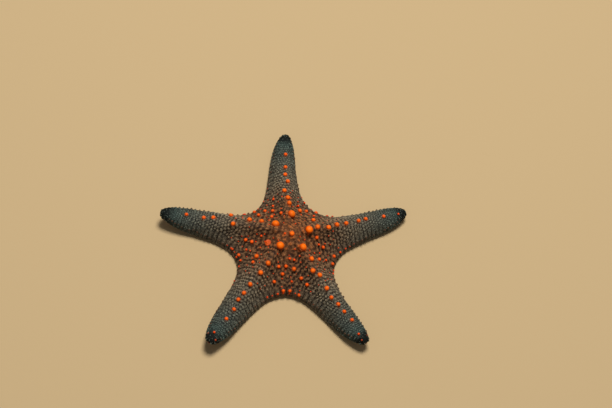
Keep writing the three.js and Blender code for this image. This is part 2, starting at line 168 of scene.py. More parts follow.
# Knobs of the margin, by their distance along the outline from the notch, and small ones strewn over
# the disc.
MARGIN_KNOB_RADIUS, MARGIN_KNOB_SIZES, MARGIN_KNOB_INSETS = 0.9, (0.7, 1.3), (0.6, 1.5)
MARGIN_KNOB_END, MARGIN_KNOB_SHRINK = 68, 0.4  # what they lose of their size by that end
MARGIN_KNOB_SHARE = 0.85  # of the plates carry one
MARGIN_GLOW_END, MARGIN_GLOW_SHARE = 26, 0.55  # where the glow fades out, and how many glow before that
MARGIN_GLOW, MARGIN_GLOW_MOST = 1.1, 0.85
SCATTER_END, SCATTER_GAP, SCATTER_THROWS = 45, 4.6, 700
SCATTER_INSET, SCATTER_OFF_KEEL, SCATTER_CLEAR = 3, 2.4, 1.3
SCATTER_SIZES, SCATTER_SHRINK, SCATTER_GLOWS = (0.42, 0.8), 0.3, (0.55, 0.95)
KNOB_WIDTHS, KNOB_DEPTHS, KNOB_HEIGHTS = (0.96, 1.06), (0.94, 1.04), (1.04, 1.18)  # over the foot radius
KNOB_LUMPS, KNOB_LUMP_SIZE = 0.045, 1.5
KNOB_PROFILE = [(0, -0.6), (0.98, -0.6), (1.03, -0.2), (1.02, 0.1), (0.97, 0.32), (0.89, 0.52), (0.76, 0.7)]
KNOB_PROFILE += [(0.59, 0.84), (0.4, 0.93), (0.2, 0.985), (0, 1)]
KNOB_SIDES, SMALL_KNOB_SIDES = 24, 10
KNOB_LIFT, MARGIN_KNOB_LIFT, SMALL_KNOB_LIFT = 0.15, 0.25, -0.2  # of their feet above the solids

# Granules: places tried, of which those far enough apart are kept, and how far apart that is.
TOP_THROWS, SOLE_THROWS = 400000, 160000
TOP_SPACING, TOP_SPACING_GAINS = 0.45, {"ridge": 0.04, "plate": 0.05, "edge": 0.07}
SOLE_SPACING, SOLE_SPACING_GAIN = 0.8, 0.16
TIP_SPACING_LOSS = 0.22  # by the tip
GRANULE_PROFILE, GRANULE_SIDES = [(0, -0.3), (1, -0.3), (0.8, 0.42), (0, 0.8)], 5
SOLE_GRANULE_PROFILE, SOLE_GRANULE_SIDES = [(0, -0.3), (1, -0.3), (0.94, 0.2), (0.62, 0.58), (0, 0.75)], 7
GRANULE_RADIUS, RIDGE_GRANULE_GAIN = 0.45, 0.21  # over the spacing, and what ridges add
GRANULE_SIZES, GRANULE_WIDTHS, GRANULE_HEIGHTS = (0.82, 1.1), (0.88, 1.08), (0.85, 1.3)
PIT_LOSS = 0.55  # the share of granules that is missing in the pits
KNOB_FOOT, SMALL_KNOB_FOOT = 0.97, 0.95  # the share of a knob's radius that is kept clear of them
GROOVE_BARE = 0.3  # of the groove's marking, past which it has none
COLLAR_LEAST, COLLAR_PITCH = 1.5, 0.62  # smallest knob with a collar of granules, and their spacing
COLLAR_RINGS, COLLAR_SINK = (0.1, 0.28), 0.15  # heights over the knob's radius, and how deep they sit
MARKINGS = ("reach", "sole", "ridge", "edge", "blush", "groove")

# The skin unwrapped: a patch for each hand of each arm, with an edge left free, and a spot for each
# granule.
PATCH_WIDTH, PATCH_HEIGHT, PATCH_EDGE = 1 / ARMS, 0.5, 0.006
GRANULE_SPOT = 0.003

# The underside.
MOUTH_END = 13.5  # where the jaws give way to the sole's plates
JAW_START, JAW_END, JAW_HEIGHT, JAW_MIDDLE, JAW_ROUND = 5.4, 12.5, 0.9, 1.35, 0.75
JAW_FURROW_DEPTH, JAW_FURROW_WIDTH = 0.45, 0.35
# Spines along a jaw: share of its length at the first and last, and how many.
COMB, COMB_INSET, COMB_RADIUS, COMB_LENGTH, COMB_SHRINK = (0.03, 0.95, 10), 0.8, 0.3, 1.9, 0.8
FACE_ROW, FACE_RADIUS, FACE_LENGTH = (0.3, 0.86, 5), 0.36, 0.62
FOOT_PITCH = 1.9  # tube feet and side plates along a groove
FOOT_SPAN, SPINE_SPAN = (8, 94), (9.5, 93)  # reaches of the first and the last
FOOT_RADIUS, FOOT_LINE, FOOT_SWAY, FOOT_ROOT_DEPTH, FOOT_CLEARANCE = 0.62, 0.42, 0.22, 0.2, 0.15
SPINE_SWAY, SPINE_FLATNESS, ROOT_DEPTH = 0.12, 0.75, 0.25
# Spines over each foot: offset from the groove's lip, turn along it, length, thickness and slope.
SPINES = [(0.25, -0.55, 1.75, 0.2, -0.42), (0.25, 0, 1.75, 0.2, -0.42), (0.25, 0.55, 1.75, 0.2, -0.42)]
SPINES += [(1.3, 0, 1.25, 0.34, -0.5)]
SPINE_PROFILE = [(0, -0.15), (0.9, -0.15), (1.05, 0.3), (0.85, 0.75), (0.45, 0.97), (0, 1)]
FOOT_PROFILE = [(0, -0.1), (0.9, -0.1), (0.8, 0.3), (0.62, 0.78), (0.95, 0.86), (1.15, 0.94), (1, 1)]
FOOT_PROFILE += [(0, 0.95)]

# ---------------------------------------------------------------- the stage

CAMERA_ROLL, CAMERA_RISE = 15, 61.3  # degrees
CAMERA_FAR, CAMERA_LENS, CAMERA_SENSOR = 1500, 113.1, 36
CAMERA_CLIP = 0.01, 20  # metres
PIXEL = 0.78
# From the middle of the frame to the disc's centre, to the right and up.
FRAME_OFFSET = np.array([285.7 - 306, 204 - 250.5]) * PIXEL
FLOOR_HALF, FLOOR_ROUGHNESS = 6, 0.9  # metres
WORLD_STRENGTH = 0.13
# Lamps: name, place and width in metres, watts and colour.
LAMPS = [
    ("key", (0.12, 0.66, 2.22), 0.75, 57, (1.0, 0.98, 0.94)),
    ("fill", (-0.9, -1.2, 1.4), 1.6, 1.2, (1.0, 1.0, 1.0)),
]


def smooth(share):
    """Runs from 0 to 1 with level ends, as three squares less two cubes."""
    share = np.clip(share, 0, 1)
    return share * share * (3 - 2 * share)


def between(value, start, end):
    """0 up to start, 1 from end on, and smooth between them."""
    return smooth((value - start) / (end - start))


def quarter_round(share):
    """A quarter circle's height over its width, from 0 at share 0 to 1 at share 1."""
    return np.sqrt(1 - (1 - np.clip(share, 0, 1)) ** 2)


def noise(points, size, seed, corners=32):
    """Smooth noise from -1 to 1: random values at the corners of cubes of that size, blended inside
    each cube."""
    table = np.random.default_rng(seed).uniform(-1, 1, (corners, corners, corners))
    place = points / size
    corner = np.floor(place).astype(int)
    inside = smooth(place - corner)
    total = 0
    for steps in np.ndindex(2, 2, 2):
        weight = 1
        for axis, step in enumerate(steps):
            weight = weight * (inside[..., axis] if step else 1 - inside[..., axis])
        x, y, z = ((corner[..., axis] + step) % corners for axis, step in enumerate(steps))
        total = total + weight * table[x, y, z]
    return total


def around(count):
    """Angles at even steps round a circle."""
    return 2 * np.pi * np.arange(count) / count


def joined(rows):
    """Rows of arrays as one row, each column end to end."""
    return [np.concatenate(parts) for parts in zip(*rows)]


def picked(table, chosen):
    """The chosen entries of every column of a table."""
    return {key: values[chosen] for key, values in table.items()}


# ---------------------------------------------------------------- the ideal star

NOTCH = NOTCH_REACH * np.array([np.cos(HALF_SECTOR), np.sin(HALF_SECTOR)])


def half_width(reach):
    """Half an arm's width: a straight taper, a flare that dies away from the notch, and a superelliptic
    nose."""
    straight = MID_HALF_WIDTH - TAPER * (reach - MID_REACH)
    notch_gap = NOTCH[1] - (MID_HALF_WIDTH - TAPER * (NOTCH[0] - MID_REACH))
    flare = notch_gap * np.exp(-(reach - NOTCH[0]) / FLARE_LENGTH)
    nose = np.clip((reach - (ARM_REACH - NOSE_LENGTH)) / NOSE_LENGTH, 0, 1)
    return (straight + flare) * (1 - nose**NOSE_POWER) ** (1 / NOSE_POWER)


def outline(steps):
    """Half an arm's outline, notch to tip, as points at even distances along it, and those
    distances."""
    fine = NOTCH[0] + (ARM_REACH - NOTCH[0]) * np.sin(np.linspace(0, np.pi / 2, 6 * steps))
    side = half_width(fine)
    run = np.concatenate([[0], np.cumsum(np.hypot(np.diff(fine), np.diff(side)))])
    at = np.linspace(0, run[-1], steps + 1)
    return np.interp(at, run, fine), np.interp(at, run, side), at


EDGE_REACH, EDGE_SIDE, EDGE_RUN = outline(OUTLINE_STEPS)


def star_fields(reach, side):
    """Distance from the centre; that over the outline's, straight through the point; distance to the
    outline; and how far along the outline its nearest point lies."""
    across = np.abs(side)
    far = np.hypot(reach, across)
    angles = np.arctan2(EDGE_SIDE, EDGE_REACH)[::-1]
    rim = np.interp(np.arctan2(across, reach), angles, np.hypot(EDGE_REACH, EDGE_SIDE)[::-1])
    share = np.clip(far / rim, 0, 1)
    gap = (reach[..., None] - EDGE_REACH) ** 2 + (across[..., None] - EDGE_SIDE) ** 2
    nearest = gap.argmin(-1)
    inset = np.sqrt(gap.min(-1)) * (share < 0.9999)
    return far, share, inset, EDGE_RUN[nearest]


def top_height(reach, side):
    """Wall, keel and crown: the lower of the keel's and the crown's heights, run softly into each
    other."""
    far, share, inset, _ = star_fields(reach, side)
    keel = MARGIN_HEIGHT + WALL_RISE * quarter_round(inset / WALL_WIDTH) + KEEL_RISE * (1 - share)
    crown = CROWN_HEIGHT - CROWN_DROP * (1 - np.exp(-(far**2) / (CROWN_CURVE * CROWN_DROP)))
    return -CROWN_BLEND * np.logaddexp(-keel / CROWN_BLEND, -crown / CROWN_BLEND)


def groove_share(reach):
    """How large a groove is at a reach, as a share of its size at the mouth."""
    return 1 - (1 - GROOVE_TIP_SHARE) * reach / GROOVE_END


def sole_height(reach, side):
    """The underside: the foot's quarter round at the margin, the level sole, the arched groove and the
    mouth."""
    far, _, inset, _ = star_fields(reach, side)
    foot = MARGIN_HEIGHT * (1 - quarter_round(inset / FOOT_CURVE))
    size = groove_share(reach)
    across = np.abs(side) / (size * (GROOVE_HALF_WIDTH + GROOVE_COAT))
    ending = between(GROOVE_END + GROOVE_FADE / 2 - reach, 0, GROOVE_FADE)
    groove = GROOVE_DEPTH * size * (1 - smooth((across - GROOVE_ROOF) / (1 - GROOVE_ROOF))) * ending
    mouth = MOUTH_DEPTH * np.sqrt(np.clip(1 - (far / (MOUTH_RADIUS + MOUTH_COAT)) ** 2, 0, 1))
    return foot + (SOLE_COAT + np.maximum(groove, mouth)) * between(inset, 0, SOLE_RIM)


def wrapped(degrees):
    """An angle brought between -180 and 180 degrees."""
    return (degrees + 180) % 360 - 180


def posed(arm, reach, side, height):
    """Where the animal holds a point of the ideal star, in millimetres. Turn, stretch and bend run
    smoothly from arm to arm; bend grows with a power of the distance beyond its start, and lift with
    its square."""
    arm, reach, side, height = np.broadcast_arrays(arm, reach, side, height)
    far = np.hypot(reach, side)
    heading = IDEAL_HEADINGS[arm] + np.degrees(np.arctan2(side, reach))
    weight = smooth(1 - np.abs(wrapped(heading[..., None] - IDEAL_HEADINGS)) / ARM_STEP)
    weight = weight / weight.sum(-1, keepdims=True)
    turn = weight @ wrapped(HEADINGS - IDEAL_HEADINGS)
    stretch = weight @ (REACHES / ARM_REACH - 1)
    bent = (weight @ BENDS) * np.clip(far / ARM_REACH - BEND_START, 0, None) ** BEND_POWER
    angle = np.radians(heading + turn + bent)
    grown = far + stretch * ARM_REACH * np.clip((far - RIGID_DISC) / (ARM_REACH - RIGID_DISC), 0, None)
    lifted = LIFTS[arm] * np.clip((reach / ARM_REACH - LIFT_START) / (1 - LIFT_START), 0, None) ** 2
    x = DISC_CENTRE[0] + grown * np.cos(angle)
    y = DISC_CENTRE[1] + grown * np.sin(angle)
    return np.stack([x, y, height + lifted], -1)


def unit(vectors):
    """Vectors scaled to a length of 1."""
    return vectors / np.maximum(np.linalg.norm(vectors, axis=-1, keepdims=True), 1e-9)


def seats(arm, reach, side, step=1.2):
    """Places on the upper side, and the outward normals there, from the slope a little way round."""

    def place(r, s):
        return posed(arm, r, s, top_height(r, s))

    along = place(reach + step, side) - place(reach - step, side)
    across = place(reach, side + step) - place(reach, side - step)
    return place(reach, side), unit(np.cross(along, across))


# ---------------------------------------------------------------- meshes


def linked(name, data):
    """A new object in the scene that holds the data."""
    made = bpy.data.objects.new(name, data)
    bpy.context.scene.collection.objects.link(made)
    return made


def new_piece(name, points, faces, material, attributes=None, uv=None):
    """A smooth-shaded mesh piece of the star, riding on its body, from points in millimetres and tables
    of faces, each table with its own number of corners. Attributes are numbers for each point; uv is a
    place for each corner of each face."""
    mesh = bpy.data.meshes.new(name)
    mesh.vertices.add(len(points))
    mesh.vertices.foreach_set("co", (points * MM).astype(np.float32).ravel())
    corners = np.concatenate([f.ravel() for f in faces]).astype(np.int32)
    sizes = np.concatenate([np.full(len(f), f.shape[1]) for f in faces]).astype(np.int32)
    mesh.loops.add(len(corners))
    mesh.loops.foreach_set("vertex_index", corners)
    mesh.polygons.add(len(sizes))
    mesh.polygons.foreach_set("loop_start", np.concatenate([[0], np.cumsum(sizes)[:-1]]).astype(np.int32))
    mesh.polygons.foreach_set("loop_total", sizes)
    mesh.polygons.foreach_set("use_smooth", np.ones(len(sizes), bool))
    mesh.update(calc_edges=True)
    mesh.validate()
    for key, values in (attributes or {}).items():
        mesh.attributes.new(key, "FLOAT", "POINT").data.foreach_set("value", values.astype(np.float32))
    if uv is not None:
        layer = mesh.uv_layers.new(name="OFBake")
        layer.data.foreach_set("uv", uv.astype(np.float32).ravel())
    mesh.materials.append(material)
    piece = linked(name, mesh)
    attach(piece, "root")
    return piece


def grid_faces(rows, columns, closed=False):
    """Quads of a grid whose points run along its columns first; a closed grid's last column joins its
    first."""
    last = columns if closed else columns - 1
    row, column = np.meshgrid(np.arange(rows - 1), np.arange(last), indexing="ij")
    after = (column + 1) % columns
    here, beyond = row * columns, (row + 1) * columns
    return np.stack([here + column, beyond + column, beyond + after, here + after], -1).reshape(-1, 4)


def point_normals(points, quads):
    """Normals at the points of a mesh of quads, each face counting by its area."""
    corner = points[quads]
    area = np.cross(corner[:, 2] - corner[:, 0], corner[:, 3] - corner[:, 1])
    total = [np.bincount(quads.ravel(), np.repeat(area[:, axis], 4), len(points)) for axis in range(3)]
    return unit(np.stack(total, -1))


def frames(normals, turn=0.0):
    """Two directions across each normal, turned round it by an angle."""
    helper = np.where(np.abs(normals[..., :1]) < 0.8, [1.0, 0, 0], [0, 1.0, 0])
    first = unit(np.cross(normals, helper))
    second = np.cross(normals, first)
    cos, sin = np.cos(turn)[..., None], np.sin(turn)[..., None]
    return first * cos + second * sin, second * cos - first * sin


def capped(rings, foot, tip):
    """A closed skin through rings of points, each anticlockwise as seen from beyond the last one, with
    its ends closed at two points."""
    rows, sides = rings.shape[:2]
    points = np.concatenate([rings.reshape(-1, 3), [foot, tip]])
    side = np.arange(sides)
    after = (side + 1) % sides
    last = (rows - 1) * sides
    quads = grid_faces(rows, sides, closed=True)[:, ::-1]
    fans = [np.stack([side * 0 + last + sides, after, side], -1)]
    fans.append(np.stack([side * 0 + last + sides + 1, last + side, last + after], -1))
    return points, quads, np.concatenate(fans)


def turned(profile, sides):
    """A shape turned round its own axis from a profile of (radius, height), which starts and ends on
    the axis."""
    radius, height = np.array(profile, float).T
    angle = around(sides)
    ring = np.stack([np.cos(angle), np.sin(angle), 0 * angle], -1)
    rings = ring * radius[1:-1, None, None] + np.array([0, 0, 1.0]) * height[1:-1, None, None]
    return capped(rings, [0, 0, height[0]], [0, 0, height[-1]])


def copies(template, places, normals, sizes, turns=0.0):
    """One template's points and faces at many places, standing along the normals there, with three
    sizes for each place: two across and one along."""
    points, quads, triangles = template
    basis = np.stack([*frames(normals, np.broadcast_to(turns, len(places))), normals], 1)
    world = places[:, None] + (points[None] * sizes[:, None, :]) @ basis
    offset = (np.arange(len(places)) * len(points))[:, None, None]
    faces = [(shape[None] + offset).reshape(-1, shape.shape[1]) for shape in (quads, triangles)]
    return world.reshape(-1, 3), faces


def new_stand(name, template, places, normals, sizes, turns, material, slot):
    """A piece of many copies, each point knowing its height on the template, from 0 to 1."""
    points, faces = copies(template, places, normals, sizes, turns)
    return new_piece(name, points, faces, material, {"rise": np.tile(template[0][:, 2], len(places))})


def close_pairs(points, spacing):
    """All pairs of points nearer each other than the mean of their spacings. Each point is compared
    with those in its own cube, as wide as the largest spacing, and in the 13 cubes after it, found by
    sorting."""
    row = 4096  # cubes along each axis, more than the star is wide
    cube = np.floor(points / spacing.max()).astype(np.int64) + row // 4
    key = (cube[:, 0] * row + cube[:, 1]) * row + cube[:, 2]
    order = np.argsort(key, kind="stable")
    key = key[order]
    pairs = []
    for dx, dy, dz in np.ndindex(3, 3, 3):
        step = ((dx - 1) * row + dy - 1) * row + dz - 1
        if step < 0:
            continue
        start = np.searchsorted(key, key + step) if step else np.arange(len(key)) + 1
        count = np.searchsorted(key, key + step, "right") - start
        first = np.repeat(np.arange(len(key)), count)
        run = np.arange(count.sum()) - np.repeat(np.cumsum(count) - count, count)
        a, b = order[first], order[run + np.repeat(start, count)]
        near = ((points[a] - points[b]) ** 2).sum(-1) < ((spacing[a] + spacing[b]) / 2) ** 2
        pairs.append(np.stack([a[near], b[near]]))
    return np.concatenate(pairs, 1)


def spread_out(points, spacing, rng):
    """Which points to keep so that no two are too close: in rounds, each point that comes before all
    its standing neighbours in a random order is kept, and those neighbours fall."""
    a, b = close_pairs(points, spacing)
    rank = rng.permutation(len(points))
    standing = np.ones(len(points), bool)
    kept = np.zeros(len(points), bool)
    while standing.any():
        least = np.full(len(points), len(points))
        np.minimum.at(least, a, rank[b])
        np.minimum.at(least, b, rank[a])
        chosen = standing & (rank < least)
        kept |= chosen
        standing &= ~chosen
        standing[b[chosen[a]]] = False
        standing[a[chosen[b]]] = False
        both = standing[a] & standing[b]
        a, b = a[both], b[both]
    return kept


# ---------------------------------------------------------------- knobs


def keel_knob_radius(reach):
    """A keel knob's radius, which shrinks evenly along the arm, but for the small knobs at its tip."""
    return TIP_KNOB_RADIUS if reach > TIP_KNOB_REACH else KEEL_KNOB_RADIUS - KEEL_KNOB_SHRINK * reach


def upper_knobs():
    """Arm, reach, side, foot radius and glow of each knob of the disc, the keels and the plates between
    them."""
    rows = [(CENTRE_KNOB_ARM, *CENTRE_KNOB, CENTRE_KNOB_RADIUS, 1)]
    for arm in range(ARMS):
        rows.append((arm, *PRIMARY_KNOBS[arm], PRIMARY_RADIUS, 1))
        rows += [(arm, reach, side, keel_knob_radius(reach), 1) for reach, side in KEEL_KNOBS[arm]]
        for hand, sizes in zip((1, -1), PLATE_KNOBS[arm]):
            for (reach, side), size in zip(PLATES, sizes):
                if size != ".":
                    rows.append((arm, reach, hand * side, PLATE_KNOB_RADII[size], 1))
    rows += [(*place, PLATE_KNOB_RADII[size], 1) for *place, size in STRAY_KNOBS]
    return np.array(rows)


def margin_count(run):
    """How many marginal plates lie between the notch and a distance along the outline, as the pitch
    shrinks."""
    return -np.log(1 - MARGIN_SHRINK * run / MARGIN_PITCH) / MARGIN_SHRINK


def margin_run(count):
    """The distance along the outline at which that many marginal plates have passed."""
    return (1 - np.exp(-MARGIN_SHRINK * count)) * MARGIN_PITCH / MARGIN_SHRINK


def margin_knobs():
    """Arm, reach, side, foot radius and glow of a small knob on most marginal plates: largest in the
    notches, where some are orange, brown along the arms, gone near the tips."""
    rng = np.random.default_rng(5)
    rows = []
    for arm, hand in HANDS:
        run = margin_run(np.arange(int(margin_count(MARGIN_KNOB_END))) + 0.5)
        inset = rng.uniform(*MARGIN_KNOB_INSETS, len(run))
        reach, side = (np.interp(run, EDGE_RUN, edge) for edge in (EDGE_REACH, EDGE_SIDE))
        slopes = (np.gradient(edge, EDGE_RUN) for edge in (EDGE_REACH, EDGE_SIDE))
        slope_r, slope_s = (np.interp(run, EDGE_RUN, slope) for slope in slopes)
        shrunk = 1 - MARGIN_KNOB_SHRINK * run / MARGIN_KNOB_END
        size = MARGIN_KNOB_RADIUS * shrunk * rng.uniform(*MARGIN_KNOB_SIZES, len(run))
        glow = np.clip(MARGIN_GLOW - run / MARGIN_GLOW_END, 0, MARGIN_GLOW_MOST)
        glow = glow * (rng.random(len(run)) < MARGIN_GLOW_SHARE)
        kept = rng.random(len(run)) < MARGIN_KNOB_SHARE
        place = [0 * run + arm, reach + slope_s * inset, hand * (side - slope_r * inset), size, glow]
        rows.append(np.stack(place, -1)[kept])
    return np.concatenate(rows)


def knob_seats(rows, upright=0.0):
    """Arm numbers, places in millimetres, axes, radii and glow of a table of knobs. Their axes are the
    skin's normals, turned towards the vertical by an upright part."""
    arm = rows[:, 0].astype(int)
    places, normals = seats(arm, rows[:, 1], rows[:, 2])
    return arm, places, unit(normals + [0, 0, upright]), rows[:, 3], rows[:, 4]


def scattered_knobs():
    """Small knobs strewn over the disc and the arms' roots, off the keels and clear of the knobs
    already there, and the dull ones at two arms' ends."""
    rng = np.random.default_rng(29)
    arm = rng.integers(0, ARMS, SCATTER_THROWS)
    far = SCATTER_END * np.sqrt(rng.uniform(0.03, 1, SCATTER_THROWS))
    turn = rng.uniform(-HALF_SECTOR, HALF_SECTOR, SCATTER_THROWS)
    reach, side = far * np.cos(turn), far * np.sin(turn)
    size = rng.uniform(*SCATTER_SIZES, SCATTER_THROWS) * (1 - SCATTER_SHRINK * far / SCATTER_END)
    _, _, inset, _ = star_fields(reach, side)
    rows = np.stack([arm, reach, side, size, rng.uniform(*SCATTER_GLOWS, SCATTER_THROWS)], -1)
    rows = rows[(inset > SCATTER_INSET) & (np.abs(side) > SCATTER_OFF_KEEL)]
    seated = knob_seats(rows, KNOB_UPRIGHT)
    free = spread_out(seated[1], np.full(len(rows), SCATTER_GAP), rng)
    for _, places, _, radius, _ in (UPPER_KNOBS, MARGIN_KNOBS):
        gap = np.linalg.norm(seated[1][:, None] - places, axis=-1)
        free &= (gap > radius + SCATTER_CLEAR).all(-1)
    return joined([[column[free] for column in seated], knob_seats(np.array(END_KNOBS), KNOB_UPRIGHT)])


UPPER_KNOBS = knob_seats(upper_knobs(), KNOB_UPRIGHT)
MARGIN_KNOBS = knob_seats(margin_knobs())
SCATTERED_KNOBS = scattered_knobs()


def make_knobs(name, knobs, material, sides, lift, chosen=slice(None)):
    """Rounded knobs standing on the skin, each a little uneven, joined into one piece. Lift is how far
    their feet stand above the solids."""
    _, places, normals, radius, glow = (column[chosen] for column in knobs)
    template = turned(KNOB_PROFILE, sides)
    rng = np.random.default_rng(11)
    turns = rng.uniform(0, 2 * np.pi, len(radius))
    spans = [radius * rng.uniform(*span, len(radius)) for span in (KNOB_WIDTHS, KNOB_DEPTHS, KNOB_HEIGHTS)]
    points, faces = copies(template, places + lift * normals, normals, np.stack(spans, -1), turns)
    each = len(template[0])
    size = np.repeat(radius, each)
    points += (noise(points, KNOB_LUMP_SIZE, 21) * KNOB_LUMPS * size)[:, None] * np.repeat(normals, each, 0)
    attributes = {
        "rise": np.tile(template[0][:, 2], len(radius)),
        "tone": np.repeat(rng.uniform(-1, 1, len(radius)), each),
        "glow": np.repeat(glow, each),
        "size": size / PRIMARY_RADIUS,
    }
    return new_piece(name, points, faces, material, attributes)


# ---------------------------------------------------------------- skin


def half_arm_grid():
    """Half an arm's ideal skin as cross lines, each from the arm's axis over the top to the margin and
    back under the sole to the axis: reach, side, height, and 0 on the top to 1 underneath."""
    share = np.linspace(0, 1, STATIONS + 1)[:, None]
    axis = ARM_REACH * np.sin(share * np.pi / 2)
    margin_reach = np.interp(share * EDGE_RUN[-1], EDGE_RUN, EDGE_REACH)
    margin_side = np.interp(share * EDGE_RUN[-1], EDGE_RUN, EDGE_SIDE)
    length = np.maximum(np.hypot(margin_reach - axis, margin_side), 1e-6)
    over = np.linspace(0, 1, TOP_STEPS + 1) + 0 * share
    near = MARGIN_INSETS * np.minimum(1 / length, MARGIN_COLUMNS_SHARE / MARGIN_INSETS[-1])
    offsets = GROOVE_OFFSETS * groove_share(axis) / np.maximum(margin_side, 1e-6)
    far = 1 - np.minimum(offsets, GROOVE_COLUMNS_SHARE * GROOVE_OFFSETS / GROOVE_OFFSETS[0])
    middle = near[:, -1:] + (far[:, :1] - near[:, -1:]) * np.linspace(0, 1, SOLE_STEPS + 1)[1:-1]
    out = np.concatenate([over, 1 - near, 1 - middle, 1 - far], 1)
    reach = axis + (margin_reach - axis) * out
    side = margin_side * out
    first = TOP_STEPS + 1  # column of the underside
    top = top_height(reach[:, :first], side[:, :first])
    top[:, -1] = MARGIN_HEIGHT
    sole = sole_height(reach[:, first:], side[:, first:])
    under = np.zeros_like(out)
    under[:, first:] = 1
    return reach, side, np.concatenate([top, sole], 1), under


def lateral_arc(reach, side):
    """Length over the upper side, straight across from the keel, read from a table of heights by
    bilinear parts."""
    rows, columns = np.arange(0, ARM_REACH + 2.0), np.arange(0, ARC_END, ARC_STEP)
    height = top_height(rows[:, None] + 0 * columns, columns + 0 * rows[:, None])
    steps = np.hypot(ARC_STEP, np.diff(height, axis=1)).clip(max=ARC_STEEPEST)
    table = np.concatenate([np.zeros((len(rows), 1)), np.cumsum(steps, 1)], 1)
    x, y = reach.clip(0, ARM_REACH), (side / ARC_STEP).clip(0, len(columns) - 2)
    i, j = x.astype(int), y.astype(int)
    s, t = x - i, y - j
    low = table[i, j] * (1 - t) + table[i, j + 1] * t
    high = table[i + 1, j] * (1 - t) + table[i + 1, j + 1] * t
    return low * (1 - s) + high * s


def triangle_net(along, across):
    """For a net of equal triangles with one set of lines straight across the arm, in units of its
    pitch: distances to the nearest of those lines, to the nearest slanting one, and to the nearest
    crossing."""
    lines = (along, across - along / 2, across + along / 2)
    straight, *slanting = [np.abs(line - np.round(line)) * ROW_STEP for line in lines]
    crossing = []
    for row in (np.floor(along), np.floor(along) + 1):
        gap = across - row / 2
        crossing.append(np.hypot(gap - np.round(gap), (along - row) * ROW_STEP))
    return straight, np.min(slanting, 0), np.min(crossing, 0)


def make_fields():
    """The skin before its relief: for each of ten half arms the grid's points, and the numbers that
    relief, colour and granules are worked out from."""
    reach, side, height, under = half_arm_grid()
    far, _, inset, run = star_fields(reach, side)
    arc = lateral_arc(reach, side)
    points = np.concatenate([posed(arm, reach, hand * side, height).reshape(-1, 3) for arm, hand in HANDS])
    named = dict(reach=reach, side=side, under=under, far=far, inset=inset, run=run, arc=arc)
    fields = {key: np.tile(values.ravel(), len(HANDS)) for key, values in named.items()}
    fields["arm"] = np.repeat([arm for arm, _ in HANDS], reach.size)
    shares = np.meshgrid(*(np.linspace(0, 1, count) for count in reach.shape), indexing="ij")
    rows, columns = (share.ravel() for share in shares)
    across = PATCH_EDGE + (PATCH_WIDTH - 2 * PATCH_EDGE) * columns
    up = PATCH_EDGE + (PATCH_HEIGHT - 2 * PATCH_EDGE) * rows
    fields["u"] = np.concatenate([PATCH_WIDTH * arm + across for arm, _ in HANDS])
    fields["v"] = np.concatenate([PATCH_HEIGHT * (hand < 0) + up for _, hand in HANDS])
    quads = grid_faces(*reach.shape)
    every = [quads[:, ::hand] + number * reach.size for number, (_, hand) in enumerate(HANDS)]
    return points, np.concatenate(every), fields


def near_knobs(points, knobs, spread, weight):
    """How near each point is to the knobs: the highest of bells as wide as each knob's radius times
    spread, and as tall as its weight."""
    _, places, _, radius, _ = knobs
    most = np.zeros(len(points))
    for place, size, tall in zip(places, radius, weight):
        most = np.maximum(most, tall * np.exp(-((points - place) ** 2).sum(-1) / (spread * size) ** 2))
    return most


def add_patterns(points, fields):
    """Adds to the fields: ridge, 1 on the bars and plates of the net; plate, 1 on its plates alone;
    edge, the plates of the margin; sole, 1 where the underside is pale, starting a little way in from
    the margin's foot so that the foot keeps the upper colours as painted shade; groove, 1 in the
    grooves and 2 in the middle of the mouth, where it marks painted shade; and blush, the orange round
    the knobs."""
    reach, side, inset, under = (fields[key] for key in ("reach", "side", "inset", "under"))
    shift = NET_SWAY * noise(points, SWAY_SIZE, 31), NET_SWAY * noise(points, SWAY_SIZE, 32)

    # The net of the upper side, whose lines across the arm come closer as its pitch shrinks.
    pitch = NET_PITCH - NET_SHRINK * reach
    along = -np.log(1 - NET_SHRINK * reach / NET_PITCH) / (ROW_STEP * NET_SHRINK) + shift[0]
    *lines, crossing = triangle_net(along, fields["arc"] / pitch + shift[1])
    bars = []
    for gap, (width, level, swing, seed) in zip(lines, (STRAIGHT_BARS, SLANTING_BARS)):
        bars.append(np.exp(-((gap / width) ** 2)) * (level + swing * noise(points, BAR_LUMP, seed)))
    plate = between(crossing, *PLATE_EDGE)
    upper = between(inset, *NET_START) * (1 - under)
    net = np.maximum(np.maximum(*bars), plate) * upper

    # The plates along the margin, rounded towards the seams between them.
    band = 1 - between(inset, *MARGIN_BAND)
    count = margin_count(fields["run"])
    fields["edge"] = band * quarter_round(2 * np.abs(count - np.round(count)) / MARGIN_ROUND)

    # The sole's net, and the row of plates beside each groove, one to a foot.
    rows = side / SOLE_PITCH + shift[1]
    _, _, sole_crossing = triangle_net(reach / (ROW_STEP * SOLE_PITCH) + shift[0], rows)
    beside = side - GROOVE_HALF_WIDTH * groove_share(reach) - GROOVE_LIP
    step = np.abs(2 * (reach / FOOT_PITCH % 1) - 1)
    sideplate = between(beside, -0.2, 0.6) * (1 - between(beside, *SIDEPLATE_END))
    sideplate = sideplate * quarter_round((1 - step) / SIDEPLATE_ROUND)
    pave = between(sole_crossing, *SOLE_PLATE_EDGE) * between(beside, *SIDEPLATE_END) * (1 - band)

    fields["ridge"] = np.where(under > 0, np.maximum(pave, sideplate), net)
    fields["plate"] = plate * upper
    # The pale underside starts 0.8 to 2.8 mm in from the margin: the foot's upper band keeps the dark upper
    # colours as a painted shadow line.
    fields["sole"] = under * between(inset, 0.8, 2.8)
    # The groove marking's second step, past 1, marks the mouth's middle, painted dark as the shade inside
    # the opening.
    fields["groove"] = under * between(beside, 0.4, -0.8) + between(fields["far"], 3.2, 1.0) * under
    every = (UPPER_KNOBS, MARGIN_KNOBS, SCATTERED_KNOBS)
    blush = [near_knobs(points, knobs, BLUSH_SPREAD, BLUSH_MOST * knobs[4]) for knobs in every]
    fields["blush"] = np.maximum.reduce(blush)


